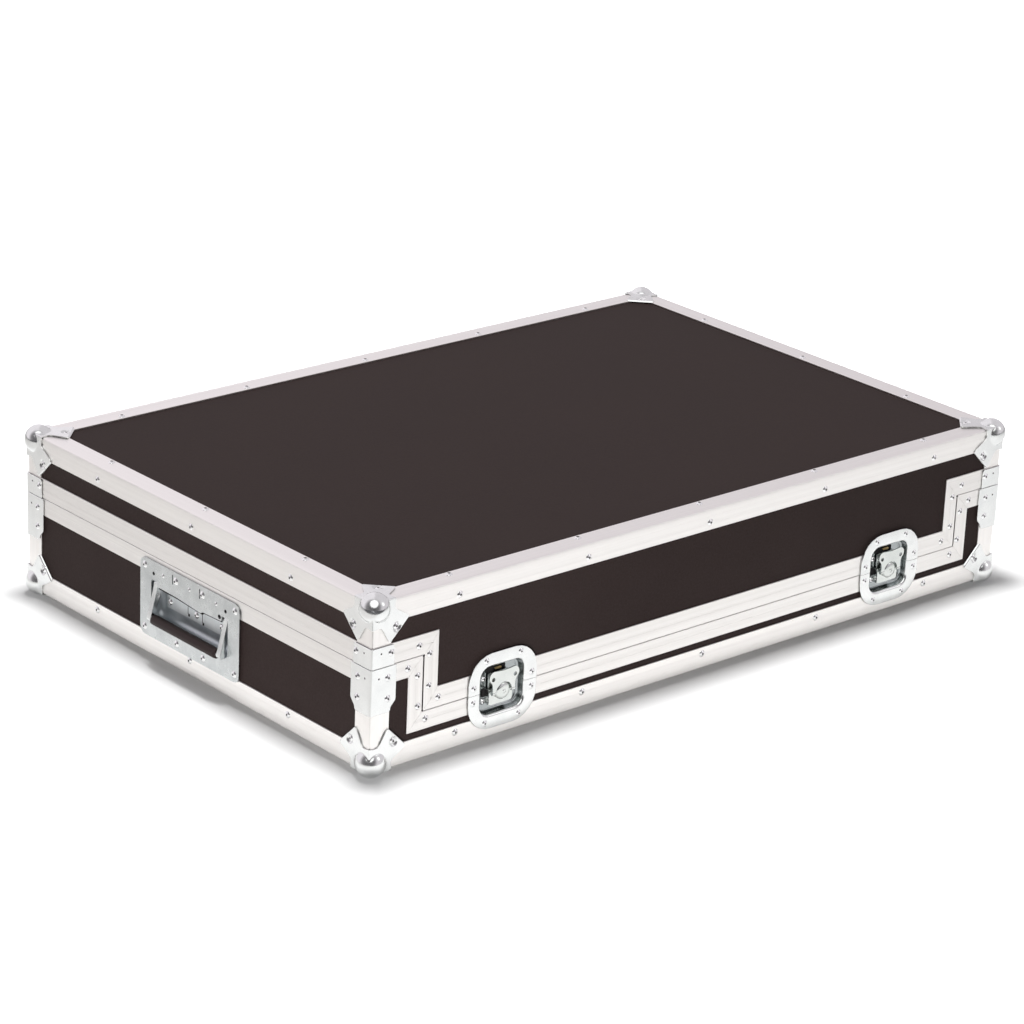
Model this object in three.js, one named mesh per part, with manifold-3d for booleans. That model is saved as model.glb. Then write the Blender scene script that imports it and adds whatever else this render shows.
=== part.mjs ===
import * as THREE from 'three';
import { mergeVertices } from 'three/addons/utils/BufferGeometryUtils.js';
import Module from 'manifold-3d';

const wasm = await Module();
wasm.setup();

// A flat coffin-style flight case with a lift-off lid, a stepped front parting, recessed
// butterfly latches and sprung side handles. Millimetres, X to the right, Y to the back, Z up,
// standing on its lower ball corners.

// Driving sizes, measured over the edge extrusions
const caseWidth = 820;
const caseDepth = 542;
const lidHeight = 63;
const panelThickness = 7;
const fit = 0.3;
const overrun = 5;

// Angle extrusions along the box edges
const edge = { leg: 21.8, wall: 1.5 };

// Closing extrusions on the two halves, which meet with a tongue and a groove. The height is
// the base's own, up to the parting.
const closing = {
  height: 102,
  frontHeight: 46.5,
  stub: 60,
  baseFace: 18,
  lidFace: 20.5,
  riserFace: 17.3,
  innerLeg: 14,
  wall: 1.5,
  gap: 0.4,
  grooveDepth: 3,
  grooveWidth: 3.2,
  tongueHeight: 2.4,
  tongueWidth: 2.4,
};
const caseHeight = closing.height + lidHeight;

// Pressed ball corners
const ball = {
  radius: 14.4,
  proud: 6.8,
  sheet: 1.2,
  wingReach: 42,
  wingSide: 21,
  archFoot: 24.5,
  archBend: 5.5,
  archAlong: 30,
  archAcross: 11,
  archEnd: 40,
  archTop: 16,
};

// Corner braces above and below the parting
const brace = {
  lidLeg: 24.7,
  baseLeg: 27.4,
  sheet: 1.2,
  lidRise: 20,
  baseDrop: 45,
  shoulderLeg: 21.5,
  shoulderDrop: 34,
  shoulderFoot: 42,
};

// Foam lining, which in the base stands clear of the handle dishes
const foam = { floor: 10, wall: 12, sideWall: 30, roof: 10, edgeGap: 3, dishGap: 0.5 };

// Recessed butterfly latches, with the parting line across their middle
const latch = {
  fromCorner: 154.5,
  width: 82,
  height: 75,
  cornerRadius: 27,
  recessWidth: 51.5,
  recessHeight: 46.5,
  recessRadius: 10,
  depth: 8.5,
  sheet: 1.2,
};

// What turns and slides inside each latch
const spindle = {
  drop: 3,
  radius: 3,
  throw: 4,
  crankRadius: 6.4,
  crankSheet: 1.2,
  crankPinRadius: 2,
  crankPinPlay: 1.2,
  headRadius: 8.5,
  headCrown: 3.6,
  headDepth: 0.5,
  pinRadius: 1,
  pinHeight: 1.6,
};
const housing = {
  halfWidth: 14,
  sheet: 1.5,
  below: 16,
  above: 2,
  plateTop: 6.4,
  front: 1.3,
};
const hook = { sheet: 1.5, top: 14.5, foot: 3 };
const keeper = { bottom: 6, top: 11, reach: 9 };
const wing = {
  top: 22,
  halfWidth: 18,
  lobeRadius: 6,
  waistHalfWidth: 13.5,
  waistHeight: 9,
  notchRadius: 9.5,
  sheet: 1.5,
  standoff: 1.8,
  barrelRadius: 2.2,
  holeRadius: 2,
  holeSpread: 13,
  holeRise: 13.5,
};

// Sprung handles recessed in the two end walls. Heights run up from the foot of the flange.
const handle = {
  belowParting: 4,
  width: 157,
  height: 79,
  cornerRadius: 9,
  sheet: 1.2,
  recessBottom: 18,
  recessTop: 63,
  recessHalfWidth: 63,
  recessRadius: 8,
  depth: 15,
  lip: 53.5,
  notchTop: 61,
  notchWidth: 12.5,
  boxHalfWidth: 48,
  boxBottom: 33.5,
  boxDepth: 8,
};
const bail = {
  axleHeight: 56,
  axleDepth: 3,
  axleRadius: 2.5,
  eyeRadius: 4.2,
  armRadius: 3.6,
  armInner: 51.5,
  armOuter: 58.5,
  length: 34.5,
  hang: THREE.MathUtils.degToRad(14.5),
  rodRadius: 3,
};
const grip = { radius: 5.2, endRound: 1.2, halfLength: 50.5 };

// Levels and depths that the pieces share
const underside = ball.proud;
const crown = underside + caseHeight;
const highParting = underside + closing.height;
const lowParting = underside + closing.frontHeight;
const halfWidth = caseWidth / 2;
const halfDepth = caseDepth / 2;
const skin = edge.wall + fit;
const lining = skin + panelThickness;
const closingDepth = lining + fit + closing.wall;
const baseSeat = closing.gap / 2 + closing.grooveDepth + closing.wall + fit;
const lidSeat = closing.gap / 2 + closing.wall + fit;
const floorTop = underside + lining;
const roofBottom = crown - lining;
const handleFoot = highParting - handle.belowParting - handle.height;
const stepX = halfWidth - closing.stub;
const arcSteps = 4;
const roundSteps = 12;
const domeSteps = 16;

// Finishes
const finishes = {
  panel: { color: 0x40363a, roughness: 0.55, metalness: 0 },
  aluminium: { color: 0xe4e2e0, roughness: 0.38, metalness: 0.85 },
  zinc: { color: 0xcfd5d5, roughness: 0.28, metalness: 0.9 },
  grip: { color: 0x342a29, roughness: 0.6, metalness: 0 },
  foam: { color: 0x2c2c2e, roughness: 0.95, metalness: 0 },
};

function piece(parent, name, geometry, finish) {
  const mesh = new THREE.Mesh(geometry, new THREE.MeshStandardMaterial(finishes[finish]));
  mesh.name = name;
  parent.add(mesh);
  return mesh;
}

// A closed three.js geometry as a solid that can be joined and cut
function solidOf(geometry) {
  const bare = geometry.clone();
  bare.deleteAttribute('normal');
  bare.deleteAttribute('uv');
  const welded = mergeVertices(bare);
  return new wasm.Manifold(new wasm.Mesh({
    numProp: 3,
    vertProperties: welded.attributes.position.array,
    triVerts: Uint32Array.from(welded.index.array),
  }));
}

function geometryOf(solid) {
  const mesh = solid.getMesh();
  const geometry = new THREE.BufferGeometry();
  geometry.setAttribute('position', new THREE.BufferAttribute(mesh.vertProperties, 3));
  geometry.setIndex(new THREE.BufferAttribute(mesh.triVerts, 1));
  geometry.computeVertexNormals();
  return geometry;
}

// A block between two opposite corners
function blockGeometry(from, to) {
  const size = from.map((value, axis) => Math.abs(to[axis] - value));
  const centre = from.map((value, axis) => (to[axis] + value) / 2);
  return new THREE.BoxGeometry(...size).translate(...centre);
}

function block(from, to) {
  return solidOf(blockGeometry(from, to));
}

// A flat outline in x and y, standing from one z level to another
function plate(shape, bottom, top) {
  const options = { depth: top - bottom, bevelEnabled: false, curveSegments: arcSteps };
  return solidOf(new THREE.ExtrudeGeometry(shape, options).translate(0, 0, bottom));
}

// A round bar along x
function barX(radius, from, to, y, z) {
  const bar = new THREE.CylinderGeometry(radius, radius, to - from, roundSteps);
  return solidOf(bar.rotateZ(Math.PI / 2).translate((from + to) / 2, y, z));
}

// A round bar along z
function barZ(radius, from, to, x, y) {
  const bar = new THREE.CylinderGeometry(radius, radius, to - from, roundSteps);
  return solidOf(bar.rotateX(Math.PI / 2).translate(x, y, (from + to) / 2));
}

function outline(points) {
  return new THREE.Shape(points.map(([x, y]) => new THREE.Vector2(x, y)));
}

function roundedRectangle(left, bottom, right, top, radius) {
  const shape = new THREE.Shape();
  shape.absarc(left + radius, bottom + radius, radius, Math.PI, Math.PI * 1.5);
  shape.absarc(right - radius, bottom + radius, radius, Math.PI * 1.5, Math.PI * 2);
  shape.absarc(right - radius, top - radius, radius, 0, Math.PI / 2);
  shape.absarc(left + radius, top - radius, radius, Math.PI / 2, Math.PI);
  shape.closePath();
  return shape;
}

// The same geometry reflected in the axes whose sign is negative
function mirrored(geometry, signs) {
  const copy = geometry.clone().scale(...signs);
  if (signs[0] * signs[1] * signs[2] < 0) copy.index.array.reverse();
  copy.computeVertexNormals();
  return copy;
}

// One cross-section carried round a closed loop of mitred stations. A station is a point on
// the outer arris with the directions in which the section's depth and height run there.
function mitredLoop(stations, sectionAt) {
  const sections = stations.map((station) => sectionAt(station).map(([depth, height, across]) => [
    station.at[0] + station.inward[0] * depth + station.rise[0] * across,
    station.at[1] + station.inward[1] * depth,
    station.at[2] + station.rise[1] * height,
  ]));
  const count = sections[0].length;
  const index = [];
  for (let s = 0; s < sections.length; s += 1) {
    const next = (s + 1) % sections.length;
    for (let p = 0; p < count; p += 1) {
      const q = (p + 1) % count;
      const [a, b, c, d] = [s * count + p, s * count + q, next * count + q, next * count + p];
      index.push(a, b, c, a, c, d);
    }
  }
  const geometry = new THREE.BufferGeometry();
  geometry.setAttribute('position', new THREE.Float32BufferAttribute(sections.flat(2), 3));
  geometry.setIndex(stations[0].rise[1] < 0 ? index.reverse() : index);
  return solidOf(geometry);
}

// The four vertical arrises as signs of x and y, running round the case
const corners = [[-1, -1], [1, -1], [1, 1], [-1, 1]];
const cornerNames = ['front_left', 'front_right', 'back_right', 'back_left'];

// A frame on one side of the case: x to the right, y up and z outwards as seen from that side
function sideFrame(turn, distance) {
  const outer = new THREE.Group();
  const inner = new THREE.Group();
  outer.rotation.z = turn;
  inner.rotation.x = Math.PI / 2;
  inner.position.y = -distance;
  outer.add(inner);
  outer.updateMatrixWorld(true);
  return { outer, inner };
}

const sides = {
  front: sideFrame(0, halfDepth),
  right: sideFrame(Math.PI / 2, halfWidth),
  back: sideFrame(Math.PI, halfDepth),
  left: sideFrame(-Math.PI / 2, halfWidth),
};

const latchX = halfWidth - latch.fromCorner;
const latchPlaces = [
  { name: 'front_left', side: 'front', x: -latchX, y: lowParting },
  { name: 'front_right', side: 'front', x: latchX, y: lowParting },
  { name: 'back_left', side: 'back', x: latchX, y: highParting },
  { name: 'back_right', side: 'back', x: -latchX, y: highParting },
];

// Pockets through the walls behind each latch and handle
function pockets() {
  const reachX = latch.recessWidth / 2 + latch.sheet + fit;
  const reachY = latch.recessHeight / 2 + latch.sheet + fit;
  const cuts = latchPlaces.map(({ side, x, y }) => blockGeometry(
    [x - reachX, y - reachY, -latch.depth - fit],
    [x + reachX, y + reachY, overrun],
  ).applyMatrix4(sides[side].inner.matrixWorld));
  const reach = handle.recessHalfWidth + handle.sheet + fit;
  for (const side of ['left', 'right']) {
    cuts.push(blockGeometry(
      [-reach, handleFoot + handle.recessBottom - handle.sheet - fit, -handle.depth - fit],
      [reach, handleFoot + handle.recessTop + handle.sheet + fit, overrun],
    ).applyMatrix4(sides[side].inner.matrixWorld));
  }
  return cuts.map(solidOf).reduce((all, cut) => all.add(cut));
}

// What the ball corners take off the eight sharp corners of the box
function cornerChips() {
  const sink = ball.radius - ball.proud;
  const rounds = new THREE.SphereGeometry(ball.radius - ball.sheet - fit, domeSteps, domeSteps / 2);
  const cube = block([-overrun, -overrun, -overrun], [sink, sink, sink]);
  const chip = geometryOf(cube.subtract(solidOf(rounds.translate(sink, sink, sink))));
  const chips = [];
  for (const [sx, sy] of corners) {
    for (const sz of [-1, 1]) {
      const level = sz < 0 ? underside : crown;
      const copy = mirrored(chip, [-sx, -sy, -sz]);
      chips.push(solidOf(copy.translate(sx * halfWidth, sy * halfDepth, level)));
    }
  }
  return chips.reduce((all, cut) => all.add(cut));
}

const pocketCuts = pockets();
const chipCuts = cornerChips();

// Angle extrusion round the top or bottom of a half, with its four corner posts
function edgeFrame(level, rise, postEnd) {
  const stations = corners.map(([sx, sy]) => ({
    at: [sx * halfWidth, sy * halfDepth, level],
    inward: [-sx, -sy],
    rise: [0, rise],
  }));
  const angle = [
    [0, 0], [edge.leg, 0], [edge.leg, edge.wall],
    [edge.wall, edge.wall], [edge.wall, edge.leg], [0, edge.leg],
  ];
  let frame = mitredLoop(stations, () => angle.map(([depth, height]) => [depth, height, height]));
  const postStart = level + rise * edge.leg / 2;
  for (const [sx, sy] of corners) {
    const [x, y] = [sx * halfWidth, sy * halfDepth];
    const outer = [x, y, postStart];
    frame = frame
      .add(block(outer, [x - sx * edge.leg, y - sy * edge.wall, postEnd]))
      .add(block(outer, [x - sx * edge.wall, y - sy * edge.leg, postEnd]));
  }
  return geometryOf(frame.subtract(chipCuts).subtract(pocketCuts));
}

// Stations of the parting line: round the case at the high level, stepping down along the front
function partingStations(rise) {
  const turn = ([sx, sy]) => ({
    at: [sx * halfWidth, sy * halfDepth, highParting],
    inward: [-sx, -sy],
    rise: [0, rise],
  });
  const step = (sx, level) => ({
    at: [sx * stepX, -halfDepth, level],
    inward: [0, 1],
    rise: [-sx * rise, rise],
    riser: true,
  });
  return [
    turn(corners[0]), step(-1, highParting), step(-1, lowParting),
    step(1, lowParting), step(1, highParting), turn(corners[1]), turn(corners[2]), turn(corners[3]),
  ];
}

// Closing extrusion of one half: a slot for the panel's edge, and a mouth on the mating face
// that is a groove where its depth is positive and a tongue where it is negative
function closingExtrusion(rise, face, web, mouthWidth, mouthDepth) {
  const start = closing.gap / 2;
  const middle = closingDepth / 2;
  const [near, far] = [middle - mouthWidth / 2, middle + mouthWidth / 2];
  const section = (reach) => [
    [0, start], [near, start], [near, start + mouthDepth], [far, start + mouthDepth],
    [far, start], [closingDepth, start], [closingDepth, closing.innerLeg],
    [lining + fit, closing.innerLeg], [lining + fit, web], [edge.wall, web],
    [edge.wall, reach], [0, reach],
  ];
  const across = section(closing.riserFace);
  const loop = mitredLoop(partingStations(rise), (station) => section(face).map(
    ([depth, height], i) => [depth, height, station.riser ? across[i][1] : height],
  ));
  return geometryOf(loop.subtract(pocketCuts));
}

function baseClosing() {
  const web = closing.gap / 2 + closing.grooveDepth + closing.wall;
  return closingExtrusion(-1, closing.baseFace, web, closing.grooveWidth, closing.grooveDepth);
}

function lidClosing() {
  const web = closing.gap / 2 + closing.wall;
  return closingExtrusion(1, closing.lidFace, web, closing.tongueWidth, -closing.tongueHeight);
}

// Panels of laminated board
const panelX = halfWidth - skin;
const panelY = halfDepth - skin;
const wallFoot = floorTop + fit;
const wallHead = roofBottom - fit;

function trimmed(solid) {
  return geometryOf(solid.subtract(chipCuts).subtract(pocketCuts));
}

// The floor or the roof, which runs under or over the four walls
function flatPanel(bottom, top) {
  return trimmed(block([-panelX, -panelY, bottom], [panelX, panelY, top]));
}

// An end wall between the front and back walls
function endWall(sx, from, to) {
  const reach = halfDepth - lining - fit;
  return trimmed(block([sx * panelX, -reach, from], [sx * (halfWidth - lining), reach, to]));
}

function backWall(from, to) {
  return trimmed(block([-panelX, panelY, from], [panelX, halfDepth - lining, to]));
}

// The front wall of one half, whose edge follows the stepped parting
function frontWall(rise, seat, far) {
  const high = highParting + rise * seat;
  const low = lowParting + rise * seat;
  const shoulder = stepX - rise * seat;
  const wall = outline([
    [-panelX, far], [panelX, far], [panelX, high], [shoulder, high],
    [shoulder, low], [-shoulder, low], [-shoulder, high], [-panelX, high],
  ]);
  const upright = geometryOf(plate(wall, -lining, -skin));
  return trimmed(solidOf(upright.applyMatrix4(sides.front.inner.matrixWorld)));
}

// Foam trays that line the two halves
const foamX = halfWidth - closingDepth - fit;
const foamY = halfDepth - closingDepth - fit;
const cavityX = foamX - foam.sideWall;
const cavityY = foamY - foam.wall;
const cavityFloor = floorTop + fit + foam.floor;
const cavityRoof = roofBottom - fit - foam.roof;

function baseFoam() {
  const top = highParting - foam.edgeGap;
  const sideX = halfWidth - handle.depth - foam.dishGap;
  const tray = block([-sideX, -foamY, floorTop + fit], [sideX, foamY, top])
    .subtract(block([-cavityX, -cavityY, cavityFloor], [cavityX, cavityY, top + overrun]))
    .subtract(block(
      [-cavityX, -foamY - overrun, lowParting - foam.edgeGap],
      [cavityX, 0, top + overrun],
    ));
  return trimmed(tray);
}

function lidFoam() {
  const bottom = highParting + foam.edgeGap;
  const dropX = stepX - closing.innerLeg - fit;
  const tray = block([-foamX, -foamY, bottom], [foamX, foamY, roofBottom - fit])
    .subtract(block([-cavityX, -cavityY, bottom - overrun], [cavityX, cavityY, cavityRoof]))
    .add(block([-dropX, -foamY, lowParting + foam.edgeGap], [dropX, -cavityY, cavityRoof]));
  return trimmed(tray);
}

// A ball corner in its own corner: the arrises run along the positive axes from the origin
function ballCorner() {
  const sink = ball.radius - ball.proud;
  const out = fit + ball.sheet;
  const far = ball.wingReach + overrun;
  const petal = outline([
    [-out, -out], [ball.archFoot, -out], [ball.archFoot, ball.archBend],
    [ball.archAlong, ball.archAcross], [ball.archEnd, ball.archTop],
    [ball.wingReach, ball.wingSide], [ball.wingSide, ball.wingReach],
    [ball.archTop, ball.archEnd], [ball.archAcross, ball.archAlong],
    [ball.archBend, ball.archFoot], [-out, ball.archFoot],
  ]);
  const inset = edge.leg + fit;
  const tip = ball.wingReach + ball.wingSide - inset;
  const foot = outline([[inset, inset], [tip, inset], [inset, tip]]);
  const cycle = new THREE.Matrix4().set(0, 0, 1, 0, 1, 0, 0, 0, 0, 1, 0, 0, 0, 0, 0, 1);
  const onThreeFaces = (solid) => {
    const first = geometryOf(solid);
    const second = first.clone().applyMatrix4(cycle);
    const third = second.clone().applyMatrix4(cycle);
    return [first, second, third].map(solidOf).reduce((all, part) => all.add(part));
  };
  const round = (radius) => {
    const sphere = new THREE.SphereGeometry(radius, domeSteps, domeSteps / 2);
    return solidOf(sphere.translate(sink, sink, sink));
  };
  const cube = block([-overrun, -overrun, -overrun], [sink, sink, sink]);
  const box = block([-fit, -fit, -fit], [far, far, far]);
  const shell = onThreeFaces(plate(petal, -out, -fit)).subtract(cube)
    .add(round(ball.radius))
    .subtract(box.subtract(cube))
    .subtract(round(ball.radius - ball.sheet).intersect(cube));
  return geometryOf(shell.add(onThreeFaces(plate(foot, -out, skin - fit))));
}

// A corner brace in its own corner, at its own level: two legs round one vertical arris
function cornerBrace(shape) {
  const leg = geometryOf(plate(shape, fit, fit + brace.sheet)).rotateX(Math.PI / 2);
  const other = mirrored(leg.clone().rotateZ(-Math.PI / 2), [1, -1, 1]);
  return geometryOf(solidOf(leg).add(solidOf(other)));
}

function lidBrace() {
  const out = fit + brace.sheet;
  const [bottom, top] = [highParting + closing.gap / 2, highParting + brace.lidRise];
  return cornerBrace(outline([
    [-out, bottom], [brace.lidLeg, bottom], [brace.lidLeg, top], [-out, top],
  ]));
}

function baseBrace() {
  const out = fit + brace.sheet;
  const shape = new THREE.Shape();
  shape.moveTo(-out, highParting - closing.gap / 2);
  shape.lineTo(-out, highParting - brace.baseDrop);
  shape.lineTo(brace.shoulderLeg, highParting - brace.baseDrop);
  shape.lineTo(brace.shoulderLeg, highParting - brace.shoulderFoot);
  shape.quadraticCurveTo(
    brace.baseLeg, highParting - brace.shoulderFoot,
    brace.baseLeg, highParting - brace.shoulderDrop,
  );
  shape.lineTo(brace.baseLeg, highParting - closing.gap / 2);
  return cornerBrace(shape);
}

// Latch dish: a rounded flange and a recessed tray, cut in two at the parting
function latchDish() {
  const [w, h] = [latch.recessWidth / 2, latch.recessHeight / 2];
  const [fw, fh] = [latch.width / 2, latch.height / 2];
  const out = fit + latch.sheet;
  const wall = roundedRectangle(
    -w - latch.sheet, -h - latch.sheet, w + latch.sheet, h + latch.sheet,
    latch.recessRadius + latch.sheet,
  );
  const flange = roundedRectangle(-fw, -fh, fw, fh, latch.cornerRadius);
  const hollow = roundedRectangle(-w, -h, w, h, latch.recessRadius);
  return plate(flange, fit, out)
    .add(plate(wall, -latch.depth, out))
    .subtract(plate(hollow, latch.sheet - latch.depth, out + overrun));
}

function halfDish(rise) {
  const [w, h] = [latch.width, latch.height];
  return latchDish().intersect(block(
    [-w, rise * closing.gap / 2, -latch.depth - overrun],
    [w, rise * h, latch.depth],
  ));
}

const latchFloor = latch.sheet - latch.depth;
const plateTop = -housing.plateTop;
const hookBottom = plateTop + fit;
const hookTop = hookBottom + hook.sheet;

// Lower dish with the channel that carries the spindle and guides the hook
function lowerDish() {
  const [x, y] = [housing.halfWidth, housing.above];
  const inner = x - housing.sheet;
  const front = [-housing.front - housing.sheet, -housing.front];
  const channel = block([-x, -housing.below, latchFloor - fit], [x, -closing.gap / 2, plateTop])
    .add(block([-x, -housing.below, plateTop - fit], [-inner, y, front[1]]))
    .add(block([inner, -housing.below, plateTop - fit], [x, y, front[1]]))
    .add(block([-x, -housing.below, front[0]], [x, y, front[1]]))
    .subtract(barZ(spindle.radius + fit, plateTop + fit, overrun, 0, -spindle.drop));
  return geometryOf(halfDish(-1).add(channel));
}

// Upper dish with the keeper that the hook stands over
function upperDish() {
  const { bottom, top, reach } = keeper;
  const bar = block([-reach, bottom, latchFloor - fit], [reach, top, plateTop]);
  return geometryOf(halfDish(1).add(bar));
}

// The hook plate, with a window that the spindle's crank pin drives up and down
function hookPlate() {
  const centre = -spindle.drop - spindle.throw;
  const reach = spindle.crankPinRadius + spindle.crankPinPlay;
  const across = spindle.throw + spindle.crankPinRadius + fit;
  const side = housing.halfWidth - housing.sheet - fit;
  const bottom = centre - reach - hook.foot;
  return geometryOf(block([-side, bottom, hookBottom], [side, hook.top, hookTop])
    .subtract(block([-across, centre - reach, hookBottom - overrun], [across, centre + reach, overrun])));
}

// The spindle: crank pin, crank disc, shaft, domed head and the pin that the wing folds on
function spindleTurned() {
  const rim = -spindle.headDepth;
  const crank = hookTop + fit;
  const neck = crank + spindle.crankSheet;
  const outlinePoints = [
    [0, crank], [spindle.crankRadius, crank], [spindle.crankRadius, neck],
    [spindle.radius, neck], [spindle.radius, rim],
  ];
  for (let step = 0; step < arcSteps; step += 1) {
    const angle = (step / arcSteps) * Math.PI / 2;
    outlinePoints.push([
      spindle.headRadius * Math.cos(angle),
      rim + (spindle.headCrown - rim) * Math.sin(angle),
    ]);
  }
  outlinePoints.push([0, spindle.headCrown]);
  const profile = outlinePoints.map(([r, z]) => new THREE.Vector2(r, z));
  const turned = new THREE.LatheGeometry(profile, roundSteps).rotateX(Math.PI / 2);
  const pinReach = wing.waistHalfWidth - fit;
  return geometryOf(solidOf(turned)
    .add(barZ(spindle.crankPinRadius, hookBottom, crank + fit, 0, -spindle.throw))
    .add(barX(spindle.pinRadius, -pinReach, pinReach, 0, spindle.pinHeight)));
}

// The butterfly wing, flat against the dish, with its hinge pin along x through the origin
function butterflyWing() {
  const base = wing.standoff - spindle.pinHeight;
  const lobe = wing.lobeRadius;
  const shape = new THREE.Shape();
  shape.moveTo(wing.notchRadius, 0);
  shape.lineTo(wing.waistHalfWidth, 0);
  shape.lineTo(wing.waistHalfWidth, wing.waistHeight);
  shape.absarc(wing.halfWidth - lobe, wing.top - lobe, lobe, 0, Math.PI / 2);
  shape.absarc(lobe - wing.halfWidth, wing.top - lobe, lobe, Math.PI / 2, Math.PI);
  shape.lineTo(-wing.waistHalfWidth, wing.waistHeight);
  shape.lineTo(-wing.waistHalfWidth, 0);
  shape.lineTo(-wing.notchRadius, 0);
  shape.absarc(0, 0, wing.notchRadius, Math.PI, 0, true);
  for (const sx of [-1, 1]) {
    const hole = new THREE.Path();
    hole.absarc(sx * wing.holeSpread, wing.holeRise, wing.holeRadius, 0, Math.PI * 2);
    shape.holes.push(hole);
  }
  const legs = plate(shape, base, base + wing.sheet);
  const [near, far] = [wing.notchRadius, wing.waistHalfWidth];
  return geometryOf(legs
    .add(barX(wing.barrelRadius, near, far, 0, 0))
    .add(barX(wing.barrelRadius, -far, -near, 0, 0))
    .subtract(barX(spindle.pinRadius + fit, -far - overrun, far + overrun, 0, 0)));
}

// Handle dish: flange, recessed tray, and a lip that hides the axle between two arm notches
function handleDish() {
  const [x, w] = [handle.recessHalfWidth, handle.width / 2];
  const out = fit + handle.sheet;
  const flange = roundedRectangle(-w, 0, w, handle.height, handle.cornerRadius);
  const wall = roundedRectangle(
    -x - handle.sheet, handle.recessBottom - handle.sheet, x + handle.sheet,
    handle.recessTop + handle.sheet, handle.recessRadius + handle.sheet,
  );
  const hollow = roundedRectangle(
    -x, handle.recessBottom, x, handle.recessTop, handle.recessRadius,
  );
  const mouth = outline([
    [-x, handle.recessBottom], [x, handle.recessBottom], [x, handle.notchTop],
    [x - handle.notchWidth, handle.notchTop], [x - handle.notchWidth, handle.lip],
    [handle.notchWidth - x, handle.lip], [handle.notchWidth - x, handle.notchTop],
    [-x, handle.notchTop],
  ]);
  const inner = handle.sheet - handle.depth;
  const springBox = block(
    [-handle.boxHalfWidth, handle.boxBottom, inner - fit],
    [handle.boxHalfWidth, handle.recessTop + fit, -handle.boxDepth],
  );
  const opening = plate(hollow, 0, out + overrun).intersect(plate(mouth, 0, out + overrun));
  return geometryOf(plate(flange, fit, out)
    .add(plate(wall, -handle.depth, fit))
    .subtract(plate(hollow, inner, fit))
    .subtract(opening)
    .add(springBox));
}

function handleAxle() {
  const reach = handle.recessHalfWidth - handle.sheet;
  return geometryOf(barX(bail.axleRadius, -reach, reach, 0, 0));
}

// The bail hangs down from its axle at the origin: two arms with eyes and the rod between them
function bailFrame() {
  const arm = new THREE.Shape();
  arm.absarc(0, 0, bail.eyeRadius, 0, Math.PI);
  arm.absarc(0, -bail.length, bail.armRadius, Math.PI, Math.PI * 2);
  arm.closePath();
  const bar = geometryOf(plate(arm, bail.armInner, bail.armOuter)).rotateY(Math.PI / 2);
  const reach = bail.armInner + fit;
  return geometryOf(solidOf(bar)
    .add(solidOf(mirrored(bar, [-1, 1, 1])))
    .add(barX(bail.rodRadius, -reach, reach, -bail.length, 0))
    .subtract(barX(bail.axleRadius + fit, -bail.armOuter - overrun, bail.armOuter + overrun, 0, 0)));
}

// The grip sleeve over the bail's rod
function gripSleeve() {
  const bore = bail.rodRadius + fit;
  const { radius, endRound, halfLength } = grip;
  const profile = [
    [bore, -halfLength], [radius - endRound, -halfLength], [radius, endRound - halfLength],
    [radius, halfLength - endRound], [radius - endRound, halfLength], [bore, halfLength],
    [bore, -halfLength],
  ].map(([r, y]) => new THREE.Vector2(r, y));
  const sleeve = new THREE.LatheGeometry(profile, roundSteps).rotateZ(Math.PI / 2);
  return sleeve.translate(0, -bail.length, 0);
}

// The case, put together
const flightCase = new THREE.Group();

piece(flightCase, 'base_floor_panel', flatPanel(underside + skin, floorTop), 'panel');
piece(flightCase, 'base_front_panel', frontWall(-1, baseSeat, wallFoot), 'panel');
piece(flightCase, 'base_back_panel', backWall(wallFoot, highParting - baseSeat), 'panel');
piece(flightCase, 'base_left_panel', endWall(-1, wallFoot, highParting - baseSeat), 'panel');
piece(flightCase, 'base_right_panel', endWall(1, wallFoot, highParting - baseSeat), 'panel');
piece(
  flightCase, 'base_edge_extrusion',
  edgeFrame(underside, 1, highParting - closing.baseFace - fit), 'aluminium',
);
piece(flightCase, 'base_closing_extrusion', baseClosing(), 'aluminium');
piece(flightCase, 'base_foam_lining', baseFoam(), 'foam');

piece(flightCase, 'lid_roof_panel', flatPanel(roofBottom, crown - skin), 'panel');
piece(flightCase, 'lid_front_panel', frontWall(1, lidSeat, wallHead), 'panel');
piece(flightCase, 'lid_back_panel', backWall(highParting + lidSeat, wallHead), 'panel');
piece(flightCase, 'lid_left_panel', endWall(-1, highParting + lidSeat, wallHead), 'panel');
piece(flightCase, 'lid_right_panel', endWall(1, highParting + lidSeat, wallHead), 'panel');
piece(
  flightCase, 'lid_edge_extrusion',
  edgeFrame(crown, -1, highParting + closing.lidFace + fit), 'aluminium',
);
piece(flightCase, 'lid_closing_extrusion', lidClosing(), 'aluminium');
piece(flightCase, 'lid_foam_lining', lidFoam(), 'foam');

const ballShape = ballCorner();
const lidBraceShape = lidBrace();
const baseBraceShape = baseBrace();
corners.forEach(([sx, sy], i) => {
  const place = (name, shape, level, sz) => {
    const fitted = mirrored(shape, [-sx, -sy, sz]);
    const hardware = piece(flightCase, `${name}_${cornerNames[i]}`, fitted, 'zinc');
    hardware.position.set(sx * halfWidth, sy * halfDepth, level);
  };
  place('base_ball_corner', ballShape, underside, 1);
  place('lid_ball_corner', ballShape, crown, -1);
  place('base_corner_brace', baseBraceShape, 0, 1);
  place('lid_corner_brace', lidBraceShape, 0, 1);
});

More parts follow.
